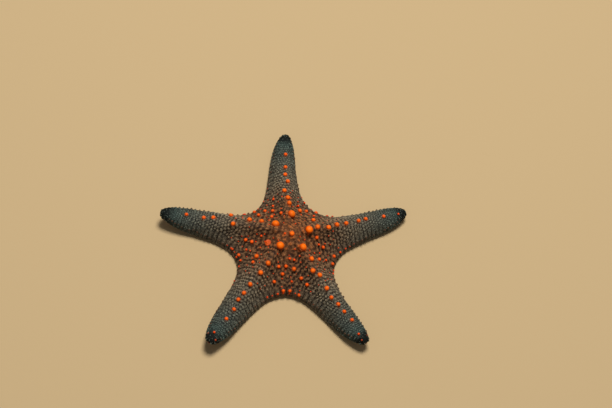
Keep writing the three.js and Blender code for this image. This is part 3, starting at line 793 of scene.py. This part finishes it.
def relief(points, fields):
    """How far the skin stands out from its even form, along its normals: above, the net, the margin's
    plates, a swelling under each knob and soft lumps; below, the plates, the folds round the mouth and
    the throat."""
    inset, far, out = fields["inset"], fields["far"], fields["reach"] / ARM_REACH
    standing = (UPPER_KNOBS, MARGIN_KNOBS)
    swell = [near_knobs(points, knobs, SWELL_SPREAD, KNOB_SWELL * knobs[3]) for knobs in standing]
    height = NET_RISE * fields["ridge"] + PLATE_RISE * fields["plate"] - PIT_DROP
    net = (1 - NET_RISE_LOSS * out) * height * between(inset, 1, 4)
    edge = (EDGE_RISE - EDGE_RISE_LOSS * out) * fields["edge"]
    lumps = 0.35 * noise(points, 8, 41) + 0.1 * noise(points, 1.9, 42)
    top = net + edge - TOP_COAT + np.maximum(*swell) + lumps
    angle = np.arctan2(fields["side"], fields["reach"])
    folds = np.cos(MOUTH_FOLDS * angle) * between(far, MOUTH_RADIUS, 4) * between(far, 1, 2.5)
    sole = SOLE_RISE * fields["ridge"] + edge * between(inset, 3, 0) + 0.06 * noise(points, 2.2, 43) - 0.15
    sole = sole + FOLD_RISE * folds - THROAT_DEPTH * between(far, 1.9, 0.5)
    return np.where(fields["under"] > 0, sole, top)


def make_skin(material):
    """One closed skin over disc and arms, its ten patches welded where their points meet, and what the
    granules need of it."""
    points, quads, fields = make_fields()
    places = np.round(points / 1e-5).astype(np.int64)
    _, first, weld = np.unique(places, axis=0, return_index=True, return_inverse=True)
    weld = weld.ravel()
    welded = weld[quads]
    add_patterns(points, fields)
    normals = point_normals(points[first], welded)
    moved = points[first] + normals * relief(points, fields)[first][:, None]
    raw, triangles = (np.concatenate([four[:, [0, 1, 2]], four[:, [0, 2, 3]]]) for four in (quads, welded))
    a, b, c = triangles.T
    whole = (a != b) & (b != c) & (c != a)
    triangles, raw = triangles[whole], raw[whole]
    attributes = {key: fields[key][first] for key in MARKINGS}
    attributes["reach"] = attributes["reach"] / ARM_REACH
    uv = np.stack([fields["u"], fields["v"]], -1)
    piece = new_piece("skin", moved, [triangles], material, attributes, uv[raw.ravel()])
    flesh = ["disc"] + [f"arm_{n}{end}" for n in range(1, ARMS + 1) for end in ("", "_tip")]
    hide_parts(*flesh)
    settled = point_normals(moved, welded)
    return {"points": moved[weld], "normals": settled[weld], "triangles": raw, "fields": fields}


# ---------------------------------------------------------------- granules


def thrown(skin, spacing, chosen, count, rng):
    """Places thrown on the chosen triangles of the skin, closer where the spacing is small, with all
    that the skin knows there."""
    corners = skin["triangles"][chosen]
    a, b, c = (skin["points"][corners[:, k]] for k in range(3))
    area = np.linalg.norm(np.cross(b - a, c - a), axis=-1) / 2
    total = np.cumsum(area / spacing[corners].mean(-1) ** 2)
    hit = np.searchsorted(total, rng.random(count) * total[-1])
    u, v = rng.random((2, count))
    u, v = np.where(u + v > 1, 1 - u, u), np.where(u + v > 1, 1 - v, v)
    shares = np.stack([1 - u - v, u, v], -1)
    corner = corners[hit]
    found = {key: (values[corner] * shares).sum(-1) for key, values in skin["fields"].items()}
    found["arm"] = skin["fields"]["arm"][corner[:, 0]]
    found["spacing"] = (spacing[corner] * shares).sum(-1)
    for key in ("points", "normals"):
        found[key] = (skin[key][corner] * shares[..., None]).sum(1)
    return found


def clear_of(points, knobs, share):
    """Which points lie further from every knob's middle than a share of its radius."""
    _, places, _, radius, _ = knobs
    free = np.ones(len(points), bool)
    for place, size in zip(places, radius):
        free &= ((points - place) ** 2).sum(-1) > (share * size) ** 2
    return free


def make_granules(skin, material):
    """The fine round granules that cover the skin: smaller in the pits and towards the tips, larger on
    the plates, coarser underneath."""
    fields = skin["fields"]
    under = fields["under"]
    top = sum((gain * fields[key] for key, gain in TOP_SPACING_GAINS.items()), TOP_SPACING)
    sole = SOLE_SPACING + SOLE_SPACING_GAIN * fields["ridge"]
    spacing = (1 - TIP_SPACING_LOSS * fields["reach"] / ARM_REACH) * np.where(under > 0, sole, top)
    underneath = under[skin["triangles"]].mean(-1) > 0.5
    rng = np.random.default_rng(17)
    top_kind = "granules", ~underneath, TOP_THROWS, turned(GRANULE_PROFILE, GRANULE_SIDES)
    sole_kind = "sole_granules", underneath, SOLE_THROWS, turned(SOLE_GRANULE_PROFILE, SOLE_GRANULE_SIDES)
    for name, chosen, throws, template in (top_kind, sole_kind):
        found = thrown(skin, spacing, chosen, throws, rng)
        places = found["points"]
        free = clear_of(places, UPPER_KNOBS, KNOB_FOOT) & clear_of(places, MARGIN_KNOBS, SMALL_KNOB_FOOT)
        free &= clear_of(places, SCATTERED_KNOBS, SMALL_KNOB_FOOT)
        free &= ((places - SIEVE_SEAT[0]) ** 2).sum(-1) > SIEVE_RADIUS**2
        free &= (found["groove"] < GROOVE_BARE) & ((found["under"] < 0.5) | (found["far"] > MOUTH_END))
        found = picked(found, free)
        kept = spread_out(found["points"], found["spacing"], rng)
        raised = np.maximum.reduce([found["ridge"], found["edge"], found["under"]])
        kept &= rng.random(len(kept)) > PIT_LOSS * (1 - raised)
        found = picked(found, kept)
        if name == "granules":
            collar = collar_places(skin, rng)
            found = {key: np.concatenate([values, collar[key]]) for key, values in found.items()}
        for arm in range(ARMS):
            lay_granules(f"{name}_{arm + 1}", picked(found, found["arm"] == arm), template, material, rng)


def collar_places(skin, rng):
    """Places for granules that climb the feet of the larger knobs in two rings, with the skin's
    markings there."""
    top = np.flatnonzero(skin["fields"]["under"] == 0)
    rows = []
    large = UPPER_KNOBS[3] > COLLAR_LEAST
    for place, normal, radius in zip(*(column[large] for column in UPPER_KNOBS[1:4])):
        count = int(2 * np.pi * radius / COLLAR_PITCH)
        both = 2 * count
        turn = 2 * np.pi * (np.arange(both) + rng.uniform(-0.3, 0.3, both)) / count
        up = np.repeat(COLLAR_RINGS, count) + rng.uniform(-0.05, 0.05, both)
        first, second = frames(normal)
        out = np.cos(turn)[:, None] * first + np.sin(turn)[:, None] * second
        wide = np.interp(up, *np.array([(height, r) for r, height in KNOB_PROFILE[1:]]).T)
        points = place + radius * (wide[:, None] * out + up[:, None] * normal) - COLLAR_SINK * normal
        close = top[((skin["points"][top] - place) ** 2).sum(-1) < (radius + 2) ** 2]
        gaps = ((points[:, None] - skin["points"][close]) ** 2).sum(-1)
        rows.append((points, unit(out + 0.35 * normal), close[gaps.argmin(1)]))
    points, normals, nearest = joined(rows)
    found = picked(skin["fields"], nearest)
    found.update(points=points, normals=normals, spacing=np.full(len(points), COLLAR_PITCH))
    return found


def lay_granules(name, found, template, material, rng):
    """One closed dome for each place found, with the skin's markings and a tone of its own, none below
    the floor."""
    count, each = len(found["points"]), len(template[0])
    raised = np.maximum.reduce([found["ridge"], found["edge"], 0.4 * found["under"]])
    radius = found["spacing"] * (GRANULE_RADIUS + RIDGE_GRANULE_GAIN * raised)
    radius = radius * rng.uniform(*GRANULE_SIZES, count)
    spans = [radius] + [radius * rng.uniform(*span, count) for span in (GRANULE_WIDTHS, GRANULE_HEIGHTS)]
    turns = rng.uniform(0, 2 * np.pi, count)
    points, faces = copies(template, found["points"], found["normals"], np.stack(spans, -1), turns)
    points[:, 2] = np.maximum(points[:, 2], 0)
    attributes = {key: np.repeat(found[key], each) for key in MARKINGS}
    attributes["reach"] /= ARM_REACH
    attributes["tone"] = np.repeat(rng.uniform(-1, 1, count), each)
    spot = np.clip(template[0][:, :2], -1, 1) * GRANULE_SPOT / 2
    uv = np.stack([found["u"], found["v"]], -1)[:, None] + spot
    corners = np.concatenate([face.ravel() for face in faces])
    new_piece(name, points, faces, material, attributes, uv.reshape(-1, 2)[corners])


# ---------------------------------------------------------------- sieve plate, eyespots, mouth and grooves

SIEVE_HEADING = SIEVE_REACH * np.array([np.cos(HALF_SECTOR), -np.sin(HALF_SECTOR)])
SIEVE_SEAT = [row[0] for row in seats(np.array([SIEVE_ARM]), SIEVE_HEADING[:1], SIEVE_HEADING[1:])]


def make_sieve_plate(material):
    """A low dome cut by meandering furrows that run out from its middle and double in number twice on
    the way."""
    share, angle = np.meshgrid(np.linspace(0, 1, 40)[1:], around(216), indexing="ij")
    flat = np.stack([share * np.cos(angle), share * np.sin(angle), 0 * share], -1)
    swayed = angle + 0.22 * noise(flat, 0.3, 51)
    waves = [0.5 + 0.5 * np.cos(count * swayed) for count in SIEVE_FURROWS]
    furrow = waves[0]
    for wave, fork in zip(waves[1:], FURROW_FORKS):
        furrow = furrow + (wave - furrow) * between(share, *fork)
    furrow = furrow * between(share, *FURROW_START) * between(share, 1.0, SIEVE_RIM)
    dome = SIEVE_RISE * np.sqrt(1 - 0.86 * share**2) * (1 - between(share, SIEVE_RIM, 1.0) * 0.7)
    height = dome - FURROW_DEPTH * furrow + 0.08 * noise(flat, 0.5, 52)
    rings = np.stack([SIEVE_RADIUS * flat[..., 0], SIEVE_RADIUS * flat[..., 1], height], -1)[::-1]
    skirt = rings[:1] * [1, 1, 0] - [0, 0, SIEVE_RISE]
    points, quads, fans = capped(np.concatenate([skirt, rings]), [0, 0, -SIEVE_RISE], [0, 0, SIEVE_RISE])
    place, normal = SIEVE_SEAT
    world = place + points @ np.stack([*frames(normal), normal])
    crest = (1 - furrow**2) * (1 - 0.6 * between(share, 0.6, 1.0))
    rise = np.concatenate([0 * angle[0], crest[::-1].ravel(), [0, 1]])
    piece = new_piece("sieve_plate_finish", world, [quads, fans], material, {"rise": rise})
    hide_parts("sieve_plate")


def make_eyespot(arm, material):
    """A bead set with round lenses, spread over it along a spiral: its radius grows by a rounded bump
    near each."""
    polar, angle = np.meshgrid(np.linspace(0, np.pi, 30)[1:-1], around(56), indexing="ij")
    facing = np.stack([np.sin(polar) * np.cos(angle), np.sin(polar) * np.sin(angle), -np.cos(polar)], -1)
    order = np.arange(EYE_LENSES) + 0.5
    tilt, turn = np.arccos(1 - 2 * order / EYE_LENSES), np.pi * (1 + 5**0.5) * order
    lenses = np.stack([np.sin(tilt) * np.cos(turn), np.sin(tilt) * np.sin(turn), np.cos(tilt)], -1)
    bump = quarter_round(((facing @ lenses.T).max(-1) - LENS_EDGE) / (1 - LENS_EDGE))
    middle = posed(arm, EYE_REACH, 0.0, EYE_HEIGHT)
    rings = middle + EYE_RADIUS * (1 - LENS_RISE + LENS_RISE * bump[..., None]) * facing
    pole = np.array([0, 0, EYE_RADIUS * (1 - LENS_RISE)])
    points, quads, fans = capped(rings, middle - pole, middle + pole)
    rise = np.concatenate([bump.ravel(), [0, 0]])
    piece = new_piece(f"eyespot_{arm + 1}", points, [quads, fans], material, {"rise": rise})
    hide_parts(f"eye_{arm + 1}")


def blunt(share):
    """1 along most of a length, rounded off to 0 at both ends."""
    return np.sqrt(1 - (2 * share - 1) ** 6)


def jaw_width(share):
    """Half a jaw's width, from its point at share 0 to its heel at 1: the room between two grooves,
    rounded off at both ends."""
    far = JAW_START + (JAW_END - JAW_START) * share
    room = (far * np.sin(HALF_SECTOR) - GROOVE_HALF_WIDTH * groove_share(far)) / np.cos(HALF_SECTOR)
    return np.maximum(room, 0.5) * blunt(share)


def jaw_place(arm, share, across, height):
    """A place in the valley after an arm, by its share of a jaw's length and how far it lies off the
    valley's line."""
    far = JAW_START + (JAW_END - JAW_START) * share
    reach = far * np.cos(HALF_SECTOR) - across * np.sin(HALF_SECTOR)
    side = -far * np.sin(HALF_SECTOR) - across * np.cos(HALF_SECTOR)
    return posed(arm, reach, side, height)


def make_jaw(arm, material):
    """A wedge between two grooves, from a point at the mouth: rounded across, with a furrow down its
    middle and pits in its face."""
    share, angle = np.meshgrid(np.linspace(0, 1, 40)[1:-1], around(40), indexing="ij")
    across, thick = (np.sign(wave) * np.abs(wave) ** JAW_ROUND for wave in (np.cos(angle), np.sin(angle)))
    across = jaw_width(share) * across
    height = JAW_MIDDLE + JAW_HEIGHT * blunt(share) * thick
    furrow = JAW_FURROW_DEPTH * np.exp(-((across / JAW_FURROW_WIDTH) ** 2)) * between(share, 0, 0.15)
    height = height + (thick < 0) * furrow
    rings = jaw_place(arm, share, across, height)
    rings[..., 2] += 0.12 * noise(rings, 0.9, 61)
    points, quads, fans = capped(rings[:, ::-1], rings[0].mean(0), rings[-1].mean(0))
    rise = np.concatenate([np.clip((JAW_MIDDLE - height[:, ::-1]) / JAW_HEIGHT, -1, 1).ravel(), [0, 0]])
    piece = new_piece(f"jaw_plate_{arm + 1}", points, [quads, fans], material, {"rise": rise})
    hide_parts(f"jaw_{arm + 1}")


def make_jaw_spines(material):
    """Blunt spines round the mouth: a comb along both edges of every jaw, spread from its point and
    leaning over the groove, and two rows of short stout ones standing on its face."""
    rng = np.random.default_rng(67)
    comb, face = np.linspace(*COMB), np.linspace(*FACE_ROW)
    rows = []
    for arm, hand in HANDS:
        edge = COMB_INSET * hand * jaw_width(comb)
        foot = jaw_place(arm, comb, edge, JAW_MIDDLE - 0.35)
        spread = edge + hand * (0.25 + 0.9 * comb)
        ahead = jaw_place(arm, comb - 0.16 * (1 - comb), spread, JAW_MIDDLE - 0.75)
        rows.append((foot, unit(ahead - foot), COMB_RADIUS + 0 * comb, COMB_LENGTH - COMB_SHRINK * comb))
        foot = jaw_place(arm, face, 0.5 * hand * jaw_width(face), JAW_MIDDLE - JAW_HEIGHT + 0.25)
        down = np.broadcast_to([0, 0, -1.0], foot.shape)
        rows.append((foot, down, FACE_RADIUS + 0 * face, FACE_LENGTH + 0 * face))
    places, directions, thick, length = joined(rows)
    thick = thick * rng.uniform(0.85, 1.15, len(thick))
    sizes = np.stack([thick, 0.85 * thick, length * rng.uniform(0.9, 1.05, len(thick))], -1)
    turns = rng.uniform(0, np.pi, len(thick))
    new_stand("jaw_spines", turned(SPINE_PROFILE, 8), places, directions, sizes, turns, material, "spine")


def groove_places(offset, start, end):
    """Arms, reaches, sides and hands along every groove, one place to a foot, at an offset from the
    groove's lip."""
    places = np.meshgrid(np.arange(ARMS), [1, -1], np.arange(start, end, FOOT_PITCH), indexing="ij")
    arm, hand, reach = (column.ravel() for column in places)
    return arm, reach, hand * (GROOVE_HALF_WIDTH * groove_share(reach) + offset), hand


def make_spines(material):
    """Blunt flattened spines along the grooves: three slim ones in a fan over each foot, and one stout
    one behind. Each points over the groove, along it by its turn, and down by its slope."""
    rng = np.random.default_rng(71)
    rows = []
    for offset, turn, length, thick, slope in SPINES:
        arm, reach, side, hand = groove_places(offset, *SPINE_SPAN)
        sway = rng.uniform(-SPINE_SWAY, SPINE_SWAY, (3, len(arm)))
        place = posed(arm, reach, side, sole_height(reach, side) + ROOT_DEPTH)
        level = posed(arm, reach, side, 0)
        inward = unit(posed(arm, reach, side - hand, 0) - level)
        along = unit(posed(arm, reach + 1, side, 0) - level)
        facing = inward + along * (turn + sway[0])[:, None]
        facing = facing + np.array([0, 0, 1.0]) * (slope + sway[1])[:, None]
        size = groove_share(reach) * (1 + sway[2])
        spans = np.stack([thick * size, thick * SPINE_FLATNESS * size, length * size], -1)
        rows.append((place, unit(facing), spans))
    new_stand("groove_spines", turned(SPINE_PROFILE, 5), *joined(rows), 0.0, material, "spine")


def make_tube_feet(material):
    """Two rows of tube feet in each groove, each a soft tube that hangs from the groove's roof and ends
    in a sucker."""
    rng = np.random.default_rng(73)
    arm, reach, side, _ = groove_places(0, *FOOT_SPAN)
    side = side * FOOT_LINE
    roof = sole_height(reach, side)
    place = posed(arm, reach, side, roof + FOOT_ROOT_DEPTH)
    sway = rng.uniform(-FOOT_SWAY, FOOT_SWAY, (len(arm), 2))
    direction = unit(np.concatenate([sway, -np.ones((len(arm), 1))], 1))
    radius = FOOT_RADIUS * groove_share(reach)
    length = (roof - FOOT_CLEARANCE) * np.abs(direction[:, 2]) * rng.uniform(0.85, 1.0, len(arm))
    sizes = np.stack([radius, radius, length], -1)
    turns = rng.uniform(0, np.pi, len(arm))
    new_stand("tube_feet", turned(FOOT_PROFILE, 8), place, direction, sizes, turns, material, "tube_foot")


# ---------------------------------------------------------------- materials


def shade(red, green, blue):
    """A colour from its display values, 0 to 255, as the light it throws back."""
    values = np.array([red, green, blue]) / 255
    return (*np.where(values <= 0.04045, values / 12.92, ((values + 0.055) / 1.055) ** 2.4), 1)


class Amount:
    """A number that varies over a surface, with arithmetic that adds its nodes."""

    def __init__(self, finish, socket):
        self.finish = finish
        self.socket = socket

    def done(self, operation, *others):
        """This number and others put through one Math node."""
        sockets = dict(enumerate([self, *others]))
        return self.finish.amount("ShaderNodeMath", {"operation": operation}, sockets, "Value")

    def __add__(self, other):
        return self.done("ADD", other)

    def __sub__(self, other):
        return self.done("SUBTRACT", other)

    def __rsub__(self, other):
        return self.done("MULTIPLY_ADD", -1, other)

    def __mul__(self, other):
        return self.done("MULTIPLY", other)

    __radd__ = __add__
    __rmul__ = __mul__

    def between(self, start, end):
        """0 up to start, 1 from end on, and smooth between them."""
        settings = {"interpolation_type": "SMOOTHSTEP"}
        sockets = {"Value": self, "From Min": start, "From Max": end}
        return self.finish.amount("ShaderNodeMapRange", settings, sockets, "Result")


class Finish:
    """One material, built node by node."""

    def __init__(self, name):
        self.material = bpy.data.materials.new(name)
        self.material.use_nodes = True
        self.tree = self.material.node_tree
        self.tree.nodes.clear()
        self.place = self.node("ShaderNodeTexCoord")["Object"]

    def node(self, kind, settings=None, sockets=None):
        """Adds a node and gives its outputs: its settings first, then the values or links of its
        sockets."""
        node = self.tree.nodes.new(kind)
        for key, value in (settings or {}).items():
            if key == "stops":
                set_stops(node.color_ramp, value)
            else:
                setattr(node, key, value)
        for key, value in (sockets or {}).items():
            value = value.socket if isinstance(value, Amount) else value
            if isinstance(value, bpy.types.NodeSocket):
                self.tree.links.new(value, node.inputs[key])
            else:
                node.inputs[key].default_value = value
        return node.outputs

    def amount(self, kind, settings, sockets, output):
        """One output of a new node, as a number for arithmetic."""
        return Amount(self, self.node(kind, settings, sockets)[output])

    def attribute(self, name):
        """A number that the piece's points carry."""
        return self.amount("ShaderNodeAttribute", {"attribute_name": name}, None, "Fac")

    def clouds(self, size, detail=2.0, roughness=0.5, shift=0.0):
        """Soft noise from 0 to 1, its blotches about that many millimetres wide."""
        shifted = {0: self.place, 1: (shift, shift, 0)}
        moved = self.node("ShaderNodeVectorMath", {"operation": "ADD"}, shifted)[0]
        sockets = {"Vector": moved, "Scale": 1 / (size * MM), "Detail": detail, "Roughness": roughness}
        return self.amount("ShaderNodeTexNoise", None, sockets, "Fac")

    def cells(self, size):
        """Distance to the nearest of scattered points about that many millimetres apart."""
        sockets = {"Vector": self.place, "Scale": 1 / (size * MM)}
        return self.amount("ShaderNodeTexVoronoi", {"feature": "F1"}, sockets, "Distance")

    def ramp(self, stops, place):
        """A colour that changes with a number, by a ramp's stops."""
        return self.node("ShaderNodeValToRGB", {"stops": stops}, {"Fac": place})[0]

    def mixed(self, share, first, second, blend="MIX"):
        """A colour between two, by a share from 0 to 1."""
        settings = {"data_type": "RGBA", "blend_type": blend}
        return self.node("ShaderNodeMix", settings, {0: share, 6: first, 7: second})[2]

    def flecked(self, colour, light):
        """A colour made lighter or darker by a number, through a grey as light as it."""
        grey = self.node("ShaderNodeCombineColor", None, {0: light, 1: light, 2: light})[0]
        return self.mixed(1, colour, grey, "MULTIPLY")

    def bump(self, height, depth, strength):
        """The surface's slope from a height of 0 to 1 that stands for that many millimetres."""
        sockets = {"Height": height, "Distance": depth * MM, "Strength": strength}
        return self.node("ShaderNodeBump", None, sockets)[0]

    def surface(self, **sockets):
        """Ends the material in one shader, whose sockets are named with low lines for spaces."""
        named = {key.replace("_", " "): value for key, value in sockets.items()}
        shader = self.node("ShaderNodeBsdfPrincipled", None, named)[0]
        self.node("ShaderNodeOutputMaterial", None, {"Surface": shader})
        return self.material


def set_stops(ramp, stops):
    """Sets a colour ramp's stops from rows of place, red, green and blue."""
    while len(ramp.elements) < len(stops):
        ramp.elements.new(1)
    for element, (place, *colour) in zip(ramp.elements, stops):
        element.position = place
        element.color = shade(*colour)


# Body colours by place from the disc out to the tips: in the pits, on the ridges, and on the granules
# there. Their blue-green towards the tips is partly the animal's own colour and partly a painted sheen
# of reflected sky, and the near-black last stop of each is painted shade on the arms' ends.
PIT_SHADES = [(0.05, 78, 42, 20), (0.2, 34, 16, 8), (0.5, 26, 18, 12), (0.8, 16, 17, 14)]
PIT_SHADES += [(0.9, 13, 19, 16), (0.94, 2, 6, 4)]
RIDGE_SHADES = [(0.1, 118, 72, 38), (0.3, 106, 76, 48), (0.5, 105, 94, 76), (0.8, 74, 80, 72)]
RIDGE_SHADES += [(0.9, 58, 74, 68), (0.945, 5, 15, 10)]
GRANULE_SHADES = [(0.1, 166, 116, 72), (0.3, 156, 120, 86), (0.5, 166, 150, 124), (0.8, 118, 124, 109)]
GRANULE_SHADES += [(0.9, 96, 116, 106), (0.945, 6, 24, 12)]
PALE_TIP_GRANULE = shade(170, 184, 168)
SOLE_SHADES = [(0.1, 196, 150, 104), (0.6, 190, 160, 122), (0.95, 140, 132, 108)]
# The last of these is painted shade inside the mouth's opening.
SOLE_SEAM, GROOVE_SHADE, MOUTH_PAINTED_SHADE = shade(150, 100, 62), shade(168, 104, 62), shade(66, 24, 16)
BLUSH = shade(182, 94, 36)
FLOOR_SHADE = shade(192, 166, 124)

# Knobs by height from foot to top: the large ones, the small ones, and those with no glow. Their dark
# feet and bright tops are partly the knobs' own colour and partly painted shade and painted highlight.
KNOB_SHADES = [(0, 104, 34, 6), (0.35, 168, 56, 4), (0.62, 232, 90, 0), (1, 252, 116, 0)]
RED_KNOB_SHADES = [(0, 84, 20, 8), (0.35, 150, 36, 8), (0.65, 226, 60, 4), (1, 246, 78, 6)]
BROWN_KNOB = shade(84, 58, 42)

# Plainer finishes: low colour, high colour, roughness, and the grain's width and depth in millimetres.
PLAIN_FINISHES = {
    "sieve plate": (shade(150, 54, 12), shade(255, 106, 14), 0.5, 0.2, 0.05),
    "eyespots": (shade(66, 10, 8), shade(150, 26, 18), 0.3, 0.2, 0.02),
    "jaws": (shade(150, 92, 50), shade(206, 166, 118), 0.55, 0.35, 0.06),
    "spines": (shade(150, 96, 56), shade(214, 176, 130), 0.5, 0.3, 0.04),
    "tube feet": (shade(170, 104, 60), shade(222, 186, 140), 0.35, 0.4, 0.03),
}


def body_colour(finish, ridge_shades):
    """The body's colour, which skin and granules share: brown on the disc, grey-brown along the arms
    and blue-green at the tips, partly a painted sheen, with painted shade on their very ends, darker
    in the pits, with orange ridges near the knobs and a pale underside. The pale underside starts a
    little way in from the margin's foot, which keeps the upper colours there as painted shade, and
    the mouth's middle is painted shade."""
    reach, ridge, edge, groove = (finish.attribute(key) for key in ("reach", "ridge", "edge", "groove"))
    place = reach + 0.1 * finish.clouds(9, 3) - 0.05
    raised = ridge * 0.8 + edge * 0.45 + finish.clouds(1.6, 2, 0.6, 3) * 0.8 - 0.35
    pits, ridges, sole = (finish.ramp(stops, place) for stops in (PIT_SHADES, ridge_shades, SOLE_SHADES))
    colour = finish.mixed(raised.between(0.05, 0.9), pits, ridges)
    crest = ridge.between(0.6, 0.95) * reach.between(0.45, 0.1)
    blush = (finish.attribute("blush") + crest * 0.6) * (finish.clouds(3.5, 2, 0.5, 7) * 2.4 - 0.6)
    colour = finish.mixed(blush.between(0.1, 1.0), colour, BLUSH)
    paved = ridge + edge + finish.clouds(1.2, 2) * 0.6
    sole = finish.mixed(paved.between(0.2, 1.1), SOLE_SEAM, sole)
    sole = finish.mixed(groove.between(0.2, 0.9), sole, GROOVE_SHADE)
    # Painted shade in the mouth's middle.
    sole = finish.mixed(groove.between(1.1, 1.9), sole, MOUTH_PAINTED_SHADE)
    return finish.mixed(finish.attribute("sole").between(0.1, 0.9), colour, sole)


def skin_finish():
    """The body's colour, flecked, over a leathery grain."""
    finish = Finish("leathery skin")
    fleck = 0.6 + finish.clouds(0.9, 3, 0.6, 11) * 0.8
    height = finish.clouds(0.5, 3, 0.6, 5) + finish.cells(0.45) * 0.5
    return finish.surface(
        Base_Color=finish.flecked(body_colour(finish, RIDGE_SHADES), fleck),
        Roughness=0.62 + finish.clouds(1.2, 2) * 0.2,
        Specular_IOR_Level=0.22,
        Normal=finish.bump(height, 0.12, 0.8),
    )


def granule_finish():
    """The body's colour, lighter and darker from granule to granule and in small patches, with a few
    pale granules towards the tips."""
    finish = Finish("granules")
    tone = finish.attribute("tone")
    patch = finish.clouds(1.3, 2, 0.6, 13).between(0.32, 0.68)
    colour = finish.flecked(body_colour(finish, GRANULE_SHADES), (0.6 + patch * 0.76) * (1 + tone * 0.42))
    pale = tone.between(0.8, 0.88) * finish.attribute("reach").between(0.3, 0.9) * 0.7
    return finish.surface(
        Base_Color=finish.mixed(pale, colour, PALE_TIP_GRANULE),
        Roughness=0.5 + finish.clouds(1.5, 2) * 0.25,
        Specular_IOR_Level=0.3,
        Normal=finish.bump(finish.clouds(0.2, 2), 0.04, 0.6),
    )


def knob_finish():
    """Orange and smooth, darker and redder at the foot, partly as painted shade, and lighter at the top,
    partly as painted highlight: large knobs most golden, small ones red, and brown where there is no
    glow."""
    finish = Finish("knobs")
    # Colour by height on the knob: the foot's darkening and the top's lightening are partly painted shade
    # and painted highlight.
    rise = finish.attribute("rise") + finish.clouds(1.3, 2) * 0.3 - 0.15
    size = finish.attribute("size").between(0.2, 0.8)
    colour = finish.mixed(size, finish.ramp(RED_KNOB_SHADES, rise), finish.ramp(KNOB_SHADES, rise))
    colour = finish.mixed(finish.attribute("glow").between(0.0, 0.7), BROWN_KNOB, colour)
    fleck = 0.94 + finish.attribute("tone") * 0.1 + finish.clouds(0.5, 3, 0.6) * 0.12
    return finish.surface(
        Base_Color=finish.flecked(colour, fleck),
        Roughness=0.42 + finish.clouds(0.8, 2) * 0.16,
        Specular_IOR_Level=0.16,
        Normal=finish.bump(finish.clouds(0.55, 3, 0.55), 0.08, 0.5),
    )


def plain_finish(name, low, high, roughness, grain, depth):
    """Colour from low to high by the piece's own rise, mottled, with a fine grain."""
    finish = Finish(name)
    rise = finish.attribute("rise") + finish.clouds(grain * 3, 2) * 0.5 - 0.25
    fleck = 0.88 + finish.clouds(grain, 3, 0.6, 4) * 0.24
    return finish.surface(
        Base_Color=finish.flecked(finish.mixed(rise.between(0, 1), low, high), fleck),
        Roughness=roughness + finish.clouds(grain * 2, 2) * 0.15,
        Normal=finish.bump(finish.clouds(grain, 3, 0.6), depth, 0.6),
    )


# ---------------------------------------------------------------- the stage


def make_floor():
    """A level square of plain pale floor under the star."""
    mesh = bpy.data.meshes.new("floor")
    corners = [(x * FLOOR_HALF, y * FLOOR_HALF, 0) for x, y in ((-1, -1), (1, -1), (1, 1), (-1, 1))]
    mesh.from_pydata(corners, [], [(0, 1, 2, 3)])
    mesh.materials.append(Finish("pale floor").surface(Base_Color=FLOOR_SHADE, Roughness=FLOOR_ROUGHNESS))
    linked("floor", mesh)


def make_light(name, place, size, watts, colour):
    """A square lamp that faces the star from a place in metres."""
    lamp = bpy.data.lights.new(name, "AREA")
    lamp.size = size
    lamp.energy = watts
    lamp.color = colour
    light = linked(name, lamp)
    light.location = place
    light.rotation_euler = Vector(place).to_track_quat("Z", "Y").to_euler()


def make_camera():
    """A long lens over the star, at 61 degrees above the floor and rolled by 15, that keeps it left of
    and below the middle of the frame."""
    roll, rise = np.radians(CAMERA_ROLL), np.radians(CAMERA_RISE)
    ahead = np.array([np.sin(roll) * np.cos(rise), np.cos(roll) * np.cos(rise), -np.sin(rise)])
    level = np.array([np.cos(roll), -np.sin(roll), 0])
    upright = np.cross(level, ahead)
    right = np.cos(roll) * level + np.sin(roll) * upright
    up = np.cos(roll) * upright - np.sin(roll) * level
    centre = np.array([*DISC_CENTRE, 0])
    place = centre - ahead * CAMERA_FAR - right * FRAME_OFFSET[0] - up * FRAME_OFFSET[1]
    lens = bpy.data.cameras.new("camera")
    lens.sensor_width = CAMERA_SENSOR
    lens.lens = CAMERA_LENS
    lens.clip_start, lens.clip_end = CAMERA_CLIP
    camera = linked("camera", lens)
    turn = Matrix(np.stack([right, up, -ahead], -1).tolist()).to_4x4()
    camera.matrix_world = Matrix.Translation(Vector(place * MM)) @ turn
    bpy.context.scene.camera = camera


def make_world():
    """Even white light from all round."""
    world = bpy.data.worlds.new("studio")
    world.use_nodes = True
    background = world.node_tree.nodes["Background"]
    background.inputs["Color"].default_value = (1.0, 1.0, 1.0, 1)
    background.inputs["Strength"].default_value = WORLD_STRENGTH
    bpy.context.scene.world = world


# ---------------------------------------------------------------- the whole

make_camera()
make_world()
make_floor()
for lamp in LAMPS:
    make_light(*lamp)
bpy.context.scene.view_settings.view_transform = "Standard"

skin = make_skin(skin_finish())
make_granules(skin, granule_finish())
knob_material = knob_finish()
for number in range(ARMS):
    own = UPPER_KNOBS[0] == number
    make_knobs(f"knobs_{number + 1}", UPPER_KNOBS, knob_material, KNOB_SIDES, KNOB_LIFT, own)
make_knobs("margin_knobs", MARGIN_KNOBS, knob_material, SMALL_KNOB_SIDES, MARGIN_KNOB_LIFT)
make_knobs("small_knobs", SCATTERED_KNOBS, knob_material, SMALL_KNOB_SIDES, SMALL_KNOB_LIFT)
plain = {name: plain_finish(name, *row) for name, row in PLAIN_FINISHES.items()}
make_sieve_plate(plain["sieve plate"])
for number in range(ARMS):
    make_eyespot(number, plain["eyespots"])
    make_jaw(number, plain["jaws"])
make_spines(plain["spines"])
make_jaw_spines(plain["spines"])
make_tube_feet(plain["tube feet"])
